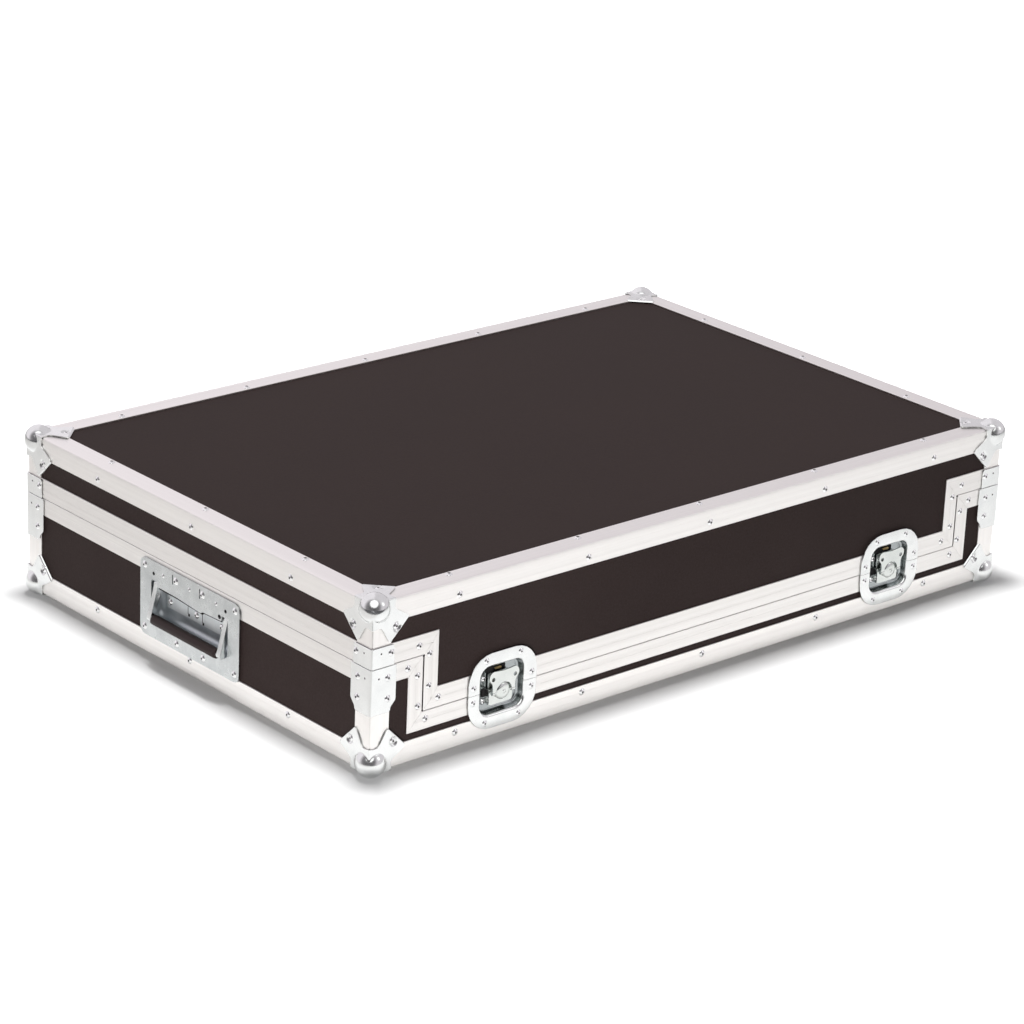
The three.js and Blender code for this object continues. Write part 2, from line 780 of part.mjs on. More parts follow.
const lowerShape = lowerDish();
const upperShape = upperDish();
const hookShape = hookPlate();
const spindleShape = spindleTurned();
const wingShape = butterflyWing();
for (const { name, side, x, y } of latchPlaces) {
  const at = new THREE.Group();
  at.position.set(x, y, 0);
  sides[side].inner.add(at);
  piece(at, `latch_${name}_lower_dish`, lowerShape, 'zinc');
  piece(at, `latch_${name}_upper_dish`, upperShape, 'zinc');
  piece(at, `latch_${name}_hook`, hookShape, 'zinc');
  const turning = new THREE.Group();
  turning.position.y = -spindle.drop;
  at.add(turning);
  piece(turning, `latch_${name}_spindle`, spindleShape, 'zinc');
  piece(turning, `latch_${name}_wing`, wingShape, 'zinc').position.z = spindle.pinHeight;
}

const dishShape = handleDish();
const axleShape = handleAxle();
const bailShape = bailFrame();
const gripShape = gripSleeve();
for (const side of ['left', 'right']) {
  const at = new THREE.Group();
  at.position.y = handleFoot;
  sides[side].inner.add(at);
  piece(at, `handle_${side}_dish`, dishShape, 'zinc');
  const swinging = new THREE.Group();
  swinging.position.set(0, bail.axleHeight, -bail.axleDepth);
  at.add(swinging);
  piece(swinging, `handle_${side}_axle`, axleShape, 'zinc');
  const hanging = new THREE.Group();
  hanging.rotation.x = -bail.hang;
  swinging.add(hanging);
  piece(hanging, `handle_${side}_bail`, bailShape, 'zinc');
  piece(hanging, `handle_${side}_grip`, gripShape, 'grip');
}

for (const side of Object.values(sides)) flightCase.add(side.outer);

export default flightCase;
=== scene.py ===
import bpy
import numpy as np
from mathutils import Matrix
from mathutils.geometry import tessellate_polygon


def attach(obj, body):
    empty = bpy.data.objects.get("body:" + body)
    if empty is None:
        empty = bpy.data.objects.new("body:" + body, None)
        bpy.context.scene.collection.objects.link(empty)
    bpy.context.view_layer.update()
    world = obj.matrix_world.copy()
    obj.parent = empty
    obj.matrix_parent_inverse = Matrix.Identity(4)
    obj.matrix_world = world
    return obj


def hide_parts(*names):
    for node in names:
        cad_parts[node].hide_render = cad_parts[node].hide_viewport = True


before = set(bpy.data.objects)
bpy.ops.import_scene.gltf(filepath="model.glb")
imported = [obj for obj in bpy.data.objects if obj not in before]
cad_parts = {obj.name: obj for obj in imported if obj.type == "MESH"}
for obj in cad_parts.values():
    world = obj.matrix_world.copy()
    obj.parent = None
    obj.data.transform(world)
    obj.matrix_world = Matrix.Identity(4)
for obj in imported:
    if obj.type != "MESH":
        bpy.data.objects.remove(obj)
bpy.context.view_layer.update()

# The camera stands to the front left and above, with a long lens. Its place and turn come from
# the straight edges of the case in the photograph.
camera_place = (-2.2799, -2.5519, 1.4007)
camera_right = (0.7570203, -0.6521416, 0.0403920)
camera_up = (0.206396, 0.297327, 0.932200)
camera_back = (-0.619936, -0.6973575, 0.359683)
camera_data = bpy.data.cameras.new("camera")
camera_data.sensor_width, camera_data.lens = 36, 127.84
camera = bpy.data.objects.new("camera", camera_data)
camera_turn = Matrix((camera_right, camera_up, camera_back)).transposed().to_4x4()
camera.matrix_world = Matrix.Translation(camera_place) @ camera_turn
bpy.context.scene.collection.objects.link(camera)
bpy.context.scene.camera = camera
bpy.context.scene.view_settings.view_transform = "Standard"


# The studio: a white floor that runs out of sight, an even sky and two soft lamps. Polished metal
# doesn't show the lamps but two bright discs in the sky, and a dimmer sky on the camera's side.
# Mirrors alone see painted shade on the floor: darker by the case's left and dark well ahead of it.
floor_reach = 30.0
# Painted shade for reflections: only glossy rays see the darker tone by the case's left and the dark floor
# some way ahead.
floor_white, reflection_shade_left = (0.93, 0.93, 0.93, 1), (0.72, 0.708, 0.70, 1)
painted_dark_reflection = (0.10, 0.10, 0.105, 1)
glow_starts, glow_full = 0.40, 1.1
dark_reflection_way, dark_reflection_starts, dark_reflection_full = (-0.66, -0.75, 0), 0.78, 0.86
shade_starts, shade_full = -0.42, -0.56
camera_way, sky_stops = (-0.74, -0.52, 0.42), [(0.0, 0.86), (0.35, 0.86), (0.7, 0.23), (1.0, 0.12)]
sky_tint, disc_white, plain_white = (1.0, 0.955, 1.0, 1), (1.5, 1.5, 1.5, 1), (1, 1, 1, 1)
left_way, left_starts, left_full, left_dimmer, left_brighter = (-0.743, 0.669, 0), -0.033, 0.089, 0.90, 1.16
overhead_disc_way, overhead_disc_rim = (-0.42, -0.42, 0.80), (0.86, 0.89)
small_disc_way, small_disc_rim = (0.56, -0.64, 0.51), (0.965, 0.982)
matt_strength, shown_strength = 0.09, 0.95
# Each lamp's place, what it faces, its size and its power
softboxes = {
    "overhead_softbox": ((-0.13, 0.08, 3.2), (0, 0, 0), 0.72, 108),
    "low_softbox": ((-2.15, -1.8, 0.24), (0, 0, 0.09), 0.4, 84),
}


class Shade:
    """An output in a node tree. Operators between outputs and numbers add the Math nodes."""

    def __init__(self, tree, socket=None):
        self.tree, self.socket = tree, socket

    def node(self, kind, inputs=None, output=0, **settings):
        """A node of one kind, its settings first and then its sockets' values or links."""
        made = self.tree.nodes.new(kind)
        stops = settings.pop("stops", None)
        for name, value in settings.items():
            setattr(made, name, value)
        if stops:
            ramp = made.color_ramp.elements
            while len(ramp) < len(stops):
                ramp.new(1)
            for element, (place, shade) in zip(ramp, stops):
                element.position, element.color = place, (shade, shade, shade, 1)
        for key, value in (inputs or {}).items():
            if isinstance(value, Shade):
                self.tree.links.new(value.socket, made.inputs[key])
            else:
                made.inputs[key].default_value = value
        return Shade(self.tree, made.outputs[output] if made.outputs else None)

    def math(self, operation, *values):
        return self.node("ShaderNodeMath", dict(enumerate(values)), operation=operation)

    def __add__(self, other):
        return self.math("ADD", self, other)

    def __sub__(self, other):
        return self.math("SUBTRACT", self, other)

    def __rsub__(self, other):
        return self.math("SUBTRACT", other, self)

    def __mul__(self, other):
        return self.math("MULTIPLY", self, other)

    __radd__ = __add__
    __rmul__ = __mul__


def material(name, paint):
    """A Principled material, whose paint function returns what each socket is given."""
    made = bpy.data.materials.new(name)
    made.use_nodes = True
    made.node_tree.nodes.clear()
    start = Shade(made.node_tree)
    shader = start.node("ShaderNodeBsdfPrincipled", paint(start))
    start.node("ShaderNodeOutputMaterial", {"Surface": shader})
    return made


def blended(start, share, first, second, way="MIX"):
    """The colour that lies this share of the way from the first to the second."""
    return start.node(
        "ShaderNodeMix", {0: share, 6: first, 7: second}, output=2, data_type="RGBA", blend_type=way,
    )


def softly(start, value, begin, end):
    """Nought where the value begins, one where it ends, and a smooth curve between."""
    return start.node("ShaderNodeMapRange", {0: value, 1: begin, 2: end}, interpolation_type="SMOOTHSTEP")


def reach_along(start, place, way):
    """How far a place lies along a direction: their dot product."""
    return start.node("ShaderNodeVectorMath", {0: place, 1: way}, output="Value", operation="DOT_PRODUCT")


def white_floor(start):
    """Matt white. Beyond the case's shadow it also glows for the camera, up to plain white.
    Mirrors alone see painted shade in it: darker by the case's left side, and dark some way ahead."""
    place = start.node("ShaderNodeTexCoord", output="Object")
    seen = start.node("ShaderNodeLightPath", output="Is Camera Ray")
    mirrored = start.node("ShaderNodeLightPath", output="Is Glossy Ray")
    away = start.node("ShaderNodeVectorMath", {0: place}, output="Value", operation="LENGTH")
    beside = start.node("ShaderNodeSeparateXYZ", {0: place}, output="X")
    glow = softly(start, away, glow_starts, glow_full) * seen
    # Painted shade, for glossy rays only: darker by the case's left side, and dark some way ahead.
    shade = softly(start, beside, shade_starts, shade_full) * mirrored
    dark_reflection_share = softly(start, reach_along(start, place, dark_reflection_way), dark_reflection_starts, dark_reflection_full) * mirrored
    return {
        "Base Color": blended(start, dark_reflection_share, blended(start, shade, floor_white, reflection_shade_left), painted_dark_reflection),
        "Roughness": 0.9,
        "Specular IOR Level": 0.0,
        "Emission Color": blended(start, glow, (0, 0, 0, 1), plain_white),
        "Emission Strength": 1.0,
    }


corner_signs = [(-1, -1), (1, -1), (1, 1), (-1, 1)]
floor_mesh = bpy.data.meshes.new("studio_floor")
floor_corners = [(sx * floor_reach, sy * floor_reach, 0) for sx, sy in corner_signs]
floor_mesh.from_pydata(floor_corners, [], [(0, 1, 2, 3)])
floor_mesh.materials.append(material("studio_floor", white_floor))
floor = bpy.data.objects.new("studio_floor", floor_mesh)
bpy.context.scene.collection.objects.link(floor)

world = bpy.data.worlds.new("studio_sky")
world.use_nodes = True
world.node_tree.nodes.clear()
sky = Shade(world.node_tree)
toward = sky.node("ShaderNodeTexCoord", output="Generated")
dimmed = sky.node("ShaderNodeValToRGB", {"Fac": reach_along(sky, toward, camera_way)}, stops=sky_stops)
left_side = reach_along(sky, toward, left_way)
rising = sky.node(
    "ShaderNodeMapRange", {0: left_side, 1: left_starts, 2: left_full, 3: left_dimmer, 4: left_brighter},
)
overhead_disc = softly(sky, reach_along(sky, toward, overhead_disc_way), *overhead_disc_rim)
small_disc = softly(sky, reach_along(sky, toward, small_disc_way), *small_disc_rim)
tinted = blended(sky, 1.0, dimmed, sky_tint, "MULTIPLY")
graded = blended(sky, 1.0, tinted, rising, "MULTIPLY")
painted = blended(sky, overhead_disc + small_disc, graded, disc_white)
seen = sky.node("ShaderNodeLightPath", output="Is Camera Ray")
mirrored = sky.node("ShaderNodeLightPath", output="Is Glossy Ray")
strength = matt_strength + (seen + mirrored) * (shown_strength - matt_strength)
background = sky.node(
    "ShaderNodeBackground", {"Color": blended(sky, seen, painted, plain_white), "Strength": strength},
)
sky.node("ShaderNodeOutputWorld", {"Surface": background})
bpy.context.scene.world = world


def softbox(name, place, aim, size, power):
    """A square area lamp at one place, turned to face another and hidden from mirrors."""
    data = bpy.data.lights.new(name, "AREA")
    data.size, data.energy = size, power
    lamp = bpy.data.objects.new(name, data)
    away = np.array(place, float) - np.array(aim, float)
    away /= np.linalg.norm(away)
    across = np.cross((0, 0, 1), away)
    across /= np.linalg.norm(across)
    turn = Matrix(np.stack([across, np.cross(away, across), away], axis=1).tolist()).to_4x4()
    lamp.matrix_world = Matrix.Translation(place) @ turn
    lamp.visible_glossy = False
    bpy.context.scene.collection.objects.link(lamp)


for name, lamp in softboxes.items():
    softbox(name, *lamp)


# Panels: seven-millimetre plywood with a brown-black phenolic film, pressed with a fine pebble.
# They slide into the slots of the aluminium, so only their faces show.
laminate_dark, laminate_light = (0.0172, 0.0112, 0.0105, 1), (0.0292, 0.0211, 0.020, 1)
laminate_rough, laminate_shine = 0.62, 0.06
pebble_scale, cloud_scale, speck_scale, pebble_depth = 520.0, 7.0, 1500.0, 0.0002


def noise(start, place, scale, detail, roughness=0.5):
    """Mottling of this many spots to a unit of length, with finer spots added to it."""
    values = {"Vector": place, "Scale": scale, "Detail": detail, "Roughness": roughness}
    return start.node("ShaderNodeTexNoise", values)


def bump(start, height, distance, strength):
    """The surface's normal, tilted as if this height stood out by the distance."""
    return start.node("ShaderNodeBump", {"Height": height, "Distance": distance, "Strength": strength})


def laminate_paint(start):
    """Pebbles, clouds and specks, each taken about its middle and weighted, add up to a share
    between two tones. Pebbles and clouds change the roughness too."""
    place = start.node("ShaderNodeTexCoord", output="Object")
    pebbles = noise(start, place, pebble_scale, 3.0, 0.6)
    clouds = noise(start, place, cloud_scale, 3.0)
    specks = noise(start, place, speck_scale, 1.0)
    tone = (pebbles - 0.5) * 1.5 + (clouds - 0.5) * 0.8 + (specks - 0.5) * 0.5 + 0.5
    return {
        "Base Color": blended(start, tone, laminate_dark, laminate_light),
        "Roughness": laminate_rough + (clouds - 0.5) * 0.12 + (pebbles - 0.5) * 0.12,
        "Specular IOR Level": laminate_shine,
        "Normal": bump(start, pebbles, pebble_depth, 0.5),
    }


laminate = material("brown_black_laminate", laminate_paint)
for name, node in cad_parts.items():
    if name.endswith("_panel"):
        node.data.materials.clear()
        node.data.materials.append(laminate)


# Edge angles: aluminium extrusion, folded round every edge of the box and mitred at the corners.
# The outer corner is rounded, and the die leaves fine lines and two shallow grooves lengthwise.
half_width, half_depth = 0.410, 0.271
underside, crown = 0.0068, 0.1718
high_parting, low_parting = 0.1088, 0.0533
edge_leg, edge_wall, edge_radius, edge_bead = 0.0218, 0.0015, 0.0016, 0.00035
edge_lines, edge_line_depth, line_half = (0.0072, 0.0148), 0.00007, 0.0004
post_below_parting, post_above_parting = 0.0183, 0.0208
mitre_cut = 0.00011
metal_dark, metal_light, metal_rough = (0.885, 0.861, 0.837), (0.965, 0.943, 0.919), 0.34
line_scales, streak_scales, smear_scale, line_depth = (3.0, 1400.0, 1.0), (1.5, 240.0, 1.0), 34.0, 0.00003
groove_angle = 14


def quads(rows, columns, around=False):
    """Faces between neighbouring rows and columns of a grid of points. With around the last
    column meets the first."""
    across = np.arange(columns if around else columns - 1)
    row, column = (axis.ravel() for axis in np.meshgrid(np.arange(rows - 1), across, indexing="ij"))
    beside = (column + 1) % columns
    return np.stack([
        row * columns + column, row * columns + beside,
        (row + 1) * columns + beside, (row + 1) * columns + column,
    ], axis=1)


def shell(name, parts, finish, body, smooth_angle=35, replaced=()):
    """One object made of several closed parts, each its points, faces and, if it has them, UVs.
    Points are metres in the case's own frame. Edges past the angle or without a second face
    are sharp."""
    points, faces, maps, first = [], [], [], 0
    for part in parts:
        part_points = np.asarray(part[0], float).reshape(-1, 3)
        faces += [[first + corner for corner in face] for face in part[1]]
        points.append(part_points)
        uv = part[2] if len(part) > 2 else part_points[:, :2]
        maps.append(np.asarray(uv, float).reshape(-1, 2))
        first += len(part_points)
    points, maps = np.concatenate(points), np.concatenate(maps)
    mesh = bpy.data.meshes.new(name)
    mesh.from_pydata(points.tolist(), [], faces)
    mesh.update()
    corners, edges = np.zeros(len(mesh.loops), np.int32), np.zeros(len(mesh.loops), np.int32)
    mesh.loops.foreach_get("vertex_index", corners)
    layer = mesh.uv_layers.new(name="along_and_across")
    layer.data.foreach_set("uv", maps[corners].astype(np.float32).ravel())
    mesh.polygons.foreach_set("use_smooth", np.ones(len(mesh.polygons), bool))
    mesh.set_sharp_from_angle(angle=np.radians(smooth_angle))
    sharp = np.zeros(len(mesh.edges), bool)
    mesh.loops.foreach_get("edge_index", edges)
    mesh.edges.foreach_get("use_edge_sharp", sharp)
    sharp |= np.bincount(edges, minlength=len(sharp)) == 1
    mesh.edges.foreach_set("use_edge_sharp", sharp)
    mesh.materials.append(finish)
    made = bpy.data.objects.new(name, mesh)
    bpy.context.scene.collection.objects.link(made)
    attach(made, body)
    if replaced:
        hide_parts(*replaced)
    return made


def ends_closed(rows, columns):
    """Faces of a closed solid: quads round its rows, and one face over each end."""
    caps = [list(range(columns))[::-1], list(range((rows - 1) * columns, rows * columns))]
    return quads(rows, columns, around=True).tolist() + caps


def bar(profile, start, end):
    """A length of extrusion: a closed profile at two stations, joined by its sides and capped.
    Each station turns profile depths and heights into points, so its ends can be mitred. Every
    end is cut a hair short, which leaves a fine line at each mitre. The UV is the distance
    along, from a start of its own, and the distance round the profile."""
    ends = np.stack([start(profile), end(profile)])
    run = ends[1] - ends[0]
    cut = np.array([mitre_cut, -mitre_cut])[:, None, None]
    ends += cut * run / np.linalg.norm(run, axis=1, keepdims=True)
    reach = np.linalg.norm((ends[1] - ends[0]).mean(axis=0))
    around = np.concatenate([[0], np.cumsum(np.linalg.norm(np.diff(profile, axis=0), axis=1))])
    along = ends[0].mean(axis=0).sum() + np.array([0, reach])
    uv = np.stack(np.meshgrid(along, around, indexing="ij"), axis=-1)
    return ends.reshape(-1, 3), ends_closed(2, len(profile)), uv


def turned_out(part, inside=None):
    """The same part with its faces pointing away from its inside. They turn round if the volume
    between them and that point, the sum of each face's fan of tetrahedra, is negative."""
    points, faces = np.asarray(part[0], float).reshape(-1, 3), [list(face) for face in part[1]]
    seen = points - (points.mean(axis=0) if inside is None else inside)
    volume = 0.0
    for size in {len(face) for face in faces}:
        ring = seen[np.array([face for face in faces if len(face) == size])]
        volume += (ring[:, :1] * np.cross(ring[:, 1:-1], ring[:, 2:])).sum()
    if volume < 0:
        faces = [face[::-1] for face in faces]
    return (points, faces, *part[2:])


def arc(middle, radius, start, end, steps=7):
    """Points of an arc round a middle, from one angle in degrees to another."""
    angle = np.radians(np.linspace(start, end, steps))
    return np.stack([middle[0] + radius * np.cos(angle), middle[1] + radius * np.sin(angle)], axis=1)


def groove(line, depth):
    """The four corners of a shallow groove in a face: places across it, and depths into it."""
    corners = ((-1, 0), (-0.5, depth), (0.5, depth), (1, 0))
    return [(line + side * line_half, down) for side, down in corners]


def edge_profile():
    """The angle's section: depth in from one outer face, height in from the other. It runs down
    the first leg over two grooves, round the corner, up the second leg, and back inside."""
    grooves = np.array(groove(edge_lines[0], edge_line_depth) + groove(edge_lines[1], edge_line_depth))
    return np.concatenate([
        [(edge_leg, edge_bead), (edge_leg - edge_bead, 0)], grooves[::-1],
        arc((edge_radius, edge_radius), edge_radius, 270, 180, 9), grooves[:, ::-1],
        [(0, edge_leg - edge_bead), (edge_bead, edge_leg)],
        [(edge_wall, edge_leg), (edge_wall, edge_wall), (edge_leg, edge_wall)],
    ])


def station(origin, depth_way, height_way):
    """Where a profile stands: its origin, plus each depth and each height along a way of its own.
    At a mitre, two lengths end at one station."""
    origin, depth_way, height_way = np.array(origin), np.array(depth_way), np.array(height_way)
    return lambda profile: origin + profile[:, :1] * depth_way + profile[:, 1:] * height_way


def box_corner(sx, sy, level, rise):
    """A mitred corner of the box: depth runs in along x and y alike, height up or down."""
    return station((sx * half_width, sy * half_depth, level), (-sx, -sy, 0), (0, 0, rise))


def post_end(sx, sy, level):
    """A square end of the upright angle in one corner: depth along x and height along y."""
    return station((sx * half_width, sy * half_depth, level), (-sx, 0, 0), (0, -sy, 0))


def aluminium_paint(start, level=1.0, streak=1.1):
    """Drawn metal: fine die lines and broad streaks are noise stretched along the UV's first
    axis, and a smear is noise over the piece. Their sum is a share between two tones."""
    place = start.node("ShaderNodeUVMap", uv_map="along_and_across")
    fine_place, broad_place = (
        start.node("ShaderNodeVectorMath", {0: place, 1: scales}, operation="MULTIPLY")
        for scales in (line_scales, streak_scales)
    )
    lines, broad = noise(start, fine_place, 1.0, 3.0, 0.7), noise(start, broad_place, 1.0, 2.0)
    smear = noise(start, start.node("ShaderNodeTexCoord", output="Object"), smear_scale, 4.0, 0.6)
    tone = (lines - 0.5) * streak + (broad - 0.5) * streak + (smear - 0.5) * 0.5 + 0.5
    dark, light = ((*(value * level for value in metal), 1) for metal in (metal_dark, metal_light))
    return {
        "Base Color": blended(start, tone, dark, light),
        "Metallic": 1.0,
        "Roughness": metal_rough + (lines - 0.5) * 0.14 + (smear - 0.5) * 0.12,
        "Normal": bump(start, lines, line_depth, 0.15),
    }


aluminium = material("drawn_aluminium", aluminium_paint)
profile = edge_profile()
for body, level, rise, post_stop in (
    ("base", underside, 1, high_parting - post_below_parting),
    ("lid", crown, -1, high_parting + post_above_parting),
):
    lengths = []
    for near, far in zip(corner_signs, corner_signs[1:] + corner_signs[:1]):
        lengths.append(bar(profile, box_corner(*near, level, rise), box_corner(*far, level, rise)))
        lengths.append(bar(profile, post_end(*near, level + rise * edge_leg), post_end(*near, post_stop)))
    shell(
        f"{body}_edge_angles", [turned_out(length) for length in lengths], aluminium, body,
        smooth_angle=groove_angle, replaced=[f"{body}_edge_extrusion"],
    )


# Closing extrusions: wider sections along the two mating edges, mitred at every turn. Their
# faces carry one shallow groove, and a tongue on the lid enters a groove in the base.
closing_depth, closing_gap, closing_bead = 0.0106, 0.0004, 0.0004
slot_side, inner_leg, closing_line_depth = 0.0091, 0.014, 0.0001
step_inset, riser_face, riser_gap = 0.060, 0.0173, 0.0008
latch_place, latch_room = 0.2555, 0.0273
closing_halves = {
    "base": dict(rise=-1, face=0.018, web=0.0047, mouth=0.003, half_mouth=0.0016, line=0.0088),
    "lid": dict(rise=1, face=0.0205, web=0.0017, mouth=-0.0024, half_mouth=0.0012, line=0.0098),
}


def closing_profile(face, web, mouth, half_mouth, line):
    """Section of one half: depth in from the face, height away from the parting. It has a face
    with a groove along it, a return edge, a slot for the panel and a short inner leg. A mouth
    that is positive is the base's groove, and one that is negative the lid's tongue."""
    start, middle = closing_gap / 2, closing_depth / 2
    return np.array([
        (closing_bead, start), (middle - half_mouth, start), (middle - half_mouth, start + mouth),
        (middle + half_mouth, start + mouth), (middle + half_mouth, start),
        (closing_depth, start), (closing_depth, inner_leg), (slot_side, inner_leg),
        (slot_side, web), (edge_wall, web), (edge_wall, face),
        (closing_bead, face), (0, face - closing_bead),
        *[(depth, height) for height, depth in groove(line, closing_line_depth)[::-1]],
        (0, start + closing_bead),
    ])


def closing_lengths(rise, face, **section):
    """The lengths of one half: the ends and the back at the high level, and the front with its
    two steps. The risers have narrower faces, so their mitred ends are worked out apart."""
    profile = closing_profile(face, **section)
    narrow = profile.copy()
    narrow[profile[:, 1] > inner_leg, 1] += riser_face - face
    narrow[:, 1] = np.maximum(narrow[:, 1], riser_gap)

    def turn(sx, sy):
        """A mitre at a corner of the case."""
        return box_corner(sx, sy, high_parting, rise)

    def step(sx, level):
        """A mitre at a step. Both profiles meet on its plane, where the riser's narrow heights
        give the reach along x and the level length's own heights the reach along z."""
        return lambda _: np.stack([
            sx * (half_width - step_inset) - sx * rise * narrow[:, 1], -half_depth + profile[:, 0],
            level + rise * profile[:, 1],
        ], axis=1)

    def cut(x, sy, level):
        """A square end beside a latch, whose dish reaches back through the extrusion."""
        return station((x, sy * half_depth, level), (0, -sy, 0), (0, 0, rise))

    near, far = latch_place - latch_room, latch_place + latch_room
    pairs = [
        (turn(-1, -1), step(-1, high_parting)), (step(-1, high_parting), step(-1, low_parting)),
        (step(-1, low_parting), cut(-far, -1, low_parting)),
        (cut(-near, -1, low_parting), cut(near, -1, low_parting)),
        (cut(far, -1, low_parting), step(1, low_parting)),
        (step(1, low_parting), step(1, high_parting)), (step(1, high_parting), turn(1, -1)),
        (turn(1, -1), turn(1, 1)), (turn(1, 1), cut(far, 1, high_parting)),
        (cut(near, 1, high_parting), cut(-near, 1, high_parting)),
        (cut(-far, 1, high_parting), turn(-1, 1)), (turn(-1, 1), turn(-1, -1)),
    ]
    return [turned_out(bar(profile, start, end)) for start, end in pairs]


def wide_aluminium_paint(start):
    """The same metal from another die: a little darker, with stronger streaks."""
    return aluminium_paint(start, level=0.905, streak=2.2)


wide_aluminium = material("wide_aluminium", wide_aluminium_paint)
for body, sizes in closing_halves.items():
    shell(
        f"{body}_closing_frame", closing_lengths(**sizes), wide_aluminium, body,
        smooth_angle=groove_angle, replaced=[f"{body}_closing_extrusion"],
    )


# Ball corners: bright zinc-plated steel, pressed from one sheet into a ball with three petals
# that lap over the edge angles, each held by a rivet in a dimple that reaches the panel.
ball_radius, ball_sink, sheet, lap = 0.0144, 0.0076, 0.0012, 0.0015
petal_outline = np.array([
    (25.2, -1.5), (24.9, 0.0), (24.2, 3.4), (24.0, 6.2), (24.7, 8.6), (26.6, 10.5), (30.5, 12.8),
    (36.0, 16.0), (38.6, 17.6), (40.0, 18.8), (40.6, 20.3), (40.2, 21.4), (39.2, 22.5), (30.85, 30.85),
]) / 1000
arris_power, fillet = 26, 0.0009
ball_ends, petal_starts = -0.02, 0.14
dimple_place, dimple_radius, dimple_slope, dimple_depth = 0.0266, 0.0050, 0.0016, 0.0017
petal_reach, turn_starts, turn_run, turn_depth, turn_above = 0.0617, 0.0010, 0.0009, 0.0018, 0.0012
zinc_dark, zinc_light, zinc_rough = (0.75, 0.765, 0.76, 1), (0.89, 0.90, 0.89, 1), 0.17
bloom_scale, ripple_scale, ripple_depth = 60.0, 900.0, 0.00004
domed_angle = 60


def smooth(share):
    """A share from nought to one, eased at both ends: three squares of it less two cubes."""
    return share * share * (3 - 2 * share)


def ball_surface(columns=40, rows=64, samples=900):
    """A third of the corner's outer face, with its arrises along the positive axes. Each column
    runs from the ball's tip to the petal's outline. A point is a direction from the ball's
    centre times a reach: the ball's radius towards the tip, and past the ball's middle planes
    the larger of the ball's and the box's with rounded edges, with blends between. Rows are
    spread evenly along each column's length, read from finer samples. A round dimple takes the
    petal down to the panel under its rivet, and its edge turns down too."""
    outline = np.concatenate([petal_outline, petal_outline[-2::-1, ::-1]])
    marks = np.concatenate([[0], np.cumsum(np.linalg.norm(np.diff(outline, axis=0), axis=1))])
    places = np.linspace(0, marks[-1], columns * 2 + 1)
    rim = np.stack([np.interp(places, marks, outline[:, k]) for k in (0, 1)], axis=1)
    ends = np.column_stack([rim, np.full(len(rim), -lap)]) - ball_sink
    ends /= np.linalg.norm(ends, axis=1, keepdims=True)
    tip = -np.ones(3) / np.sqrt(3)
    span = np.arccos(ends @ tip)
    side = ends - np.cos(span)[:, None] * tip
    side /= np.linalg.norm(side, axis=1, keepdims=True)

    angle = np.linspace(0, 1, samples)[:, None] * span
    way = np.cos(angle)[..., None] * tip + np.sin(angle)[..., None] * side
    wall = np.clip(-way / (ball_sink + lap), 0, None)
    box = (wall ** arris_power).sum(axis=-1) ** (-1 / arris_power)
    mix = np.clip(0.5 + 0.5 * (box - ball_radius) / fillet, 0, 1)
    larger = ball_radius + (box - ball_radius) * mix + fillet * mix * (1 - mix)
    leave = smooth(np.clip((way.max(axis=-1) - ball_ends) / (petal_starts - ball_ends), 0, 1))
    dense = ball_sink + way * (ball_radius + (larger - ball_radius) * leave)[..., None]

    length = np.concatenate([
        np.zeros((1, len(rim))), np.cumsum(np.linalg.norm(np.diff(dense, axis=0), axis=2), axis=0),
    ])
    length /= length[-1]
    wanted = np.linspace(0, 1, rows)[:, None]
    below = np.clip((length[:, None, :] < wanted).sum(axis=0) - 1, 0, samples - 2)
    column = np.arange(len(rim))
    start, stop = length[below, column], length[below + 1, column]
    between = np.clip((wanted - start) / (stop - start), 0, 1)[..., None]
    points = dense[below, column] * (1 - between) + dense[below + 1, column] * between

    away = np.linalg.norm(points[..., :2] - dimple_place, axis=-1)
    points[..., 2] += dimple_depth * smooth(np.clip((dimple_radius - away) / dimple_slope, 0, 1))
    inset = (petal_reach - points[..., :2].sum(axis=-1)) / np.sqrt(2)
    turned = np.clip((turn_starts - inset) / turn_run, 0, 1) * (points[..., 2] < -turn_above)
    points[..., 2] += turn_depth * smooth(turned)
    return points


def corner_frame(sx, sy, level, sz):
    """Turns points with their arrises along the positive axes into one corner of the case."""
    signs, origin = np.array([-sx, -sy, sz]), np.array([sx * half_width, sy * half_depth, level])
    return lambda points: origin + points * signs


def zinc_paint(start, dark=zinc_dark, light=zinc_light, rough=zinc_rough):
    """Zinc plate: soft blooms of two tones, with a fine ripple in the steel under it."""
    body = start.node("ShaderNodeTexCoord", output="Object")
    bloom, fine = noise(start, body, bloom_scale, 5.0, 0.6), noise(start, body, ripple_scale, 2.0)
    tone = (bloom - 0.5) * 1.6 + (fine - 0.5) * 0.4 + 0.5
    return {
        "Base Color": blended(start, tone, dark, light),
        "Metallic": 1.0,
        "Roughness": rough + (bloom - 0.5) * 0.16 + (fine - 0.5) * 0.06,
        "Normal": bump(start, fine, ripple_depth, 0.35),
    }


def thickened(made, even):
    """Gives an outer face the thickness of its sheet, inwards."""
    wall = made.modifiers.new("sheet", "SOLIDIFY")
    wall.thickness, wall.offset, wall.use_even_offset = sheet, -1, even
    return made


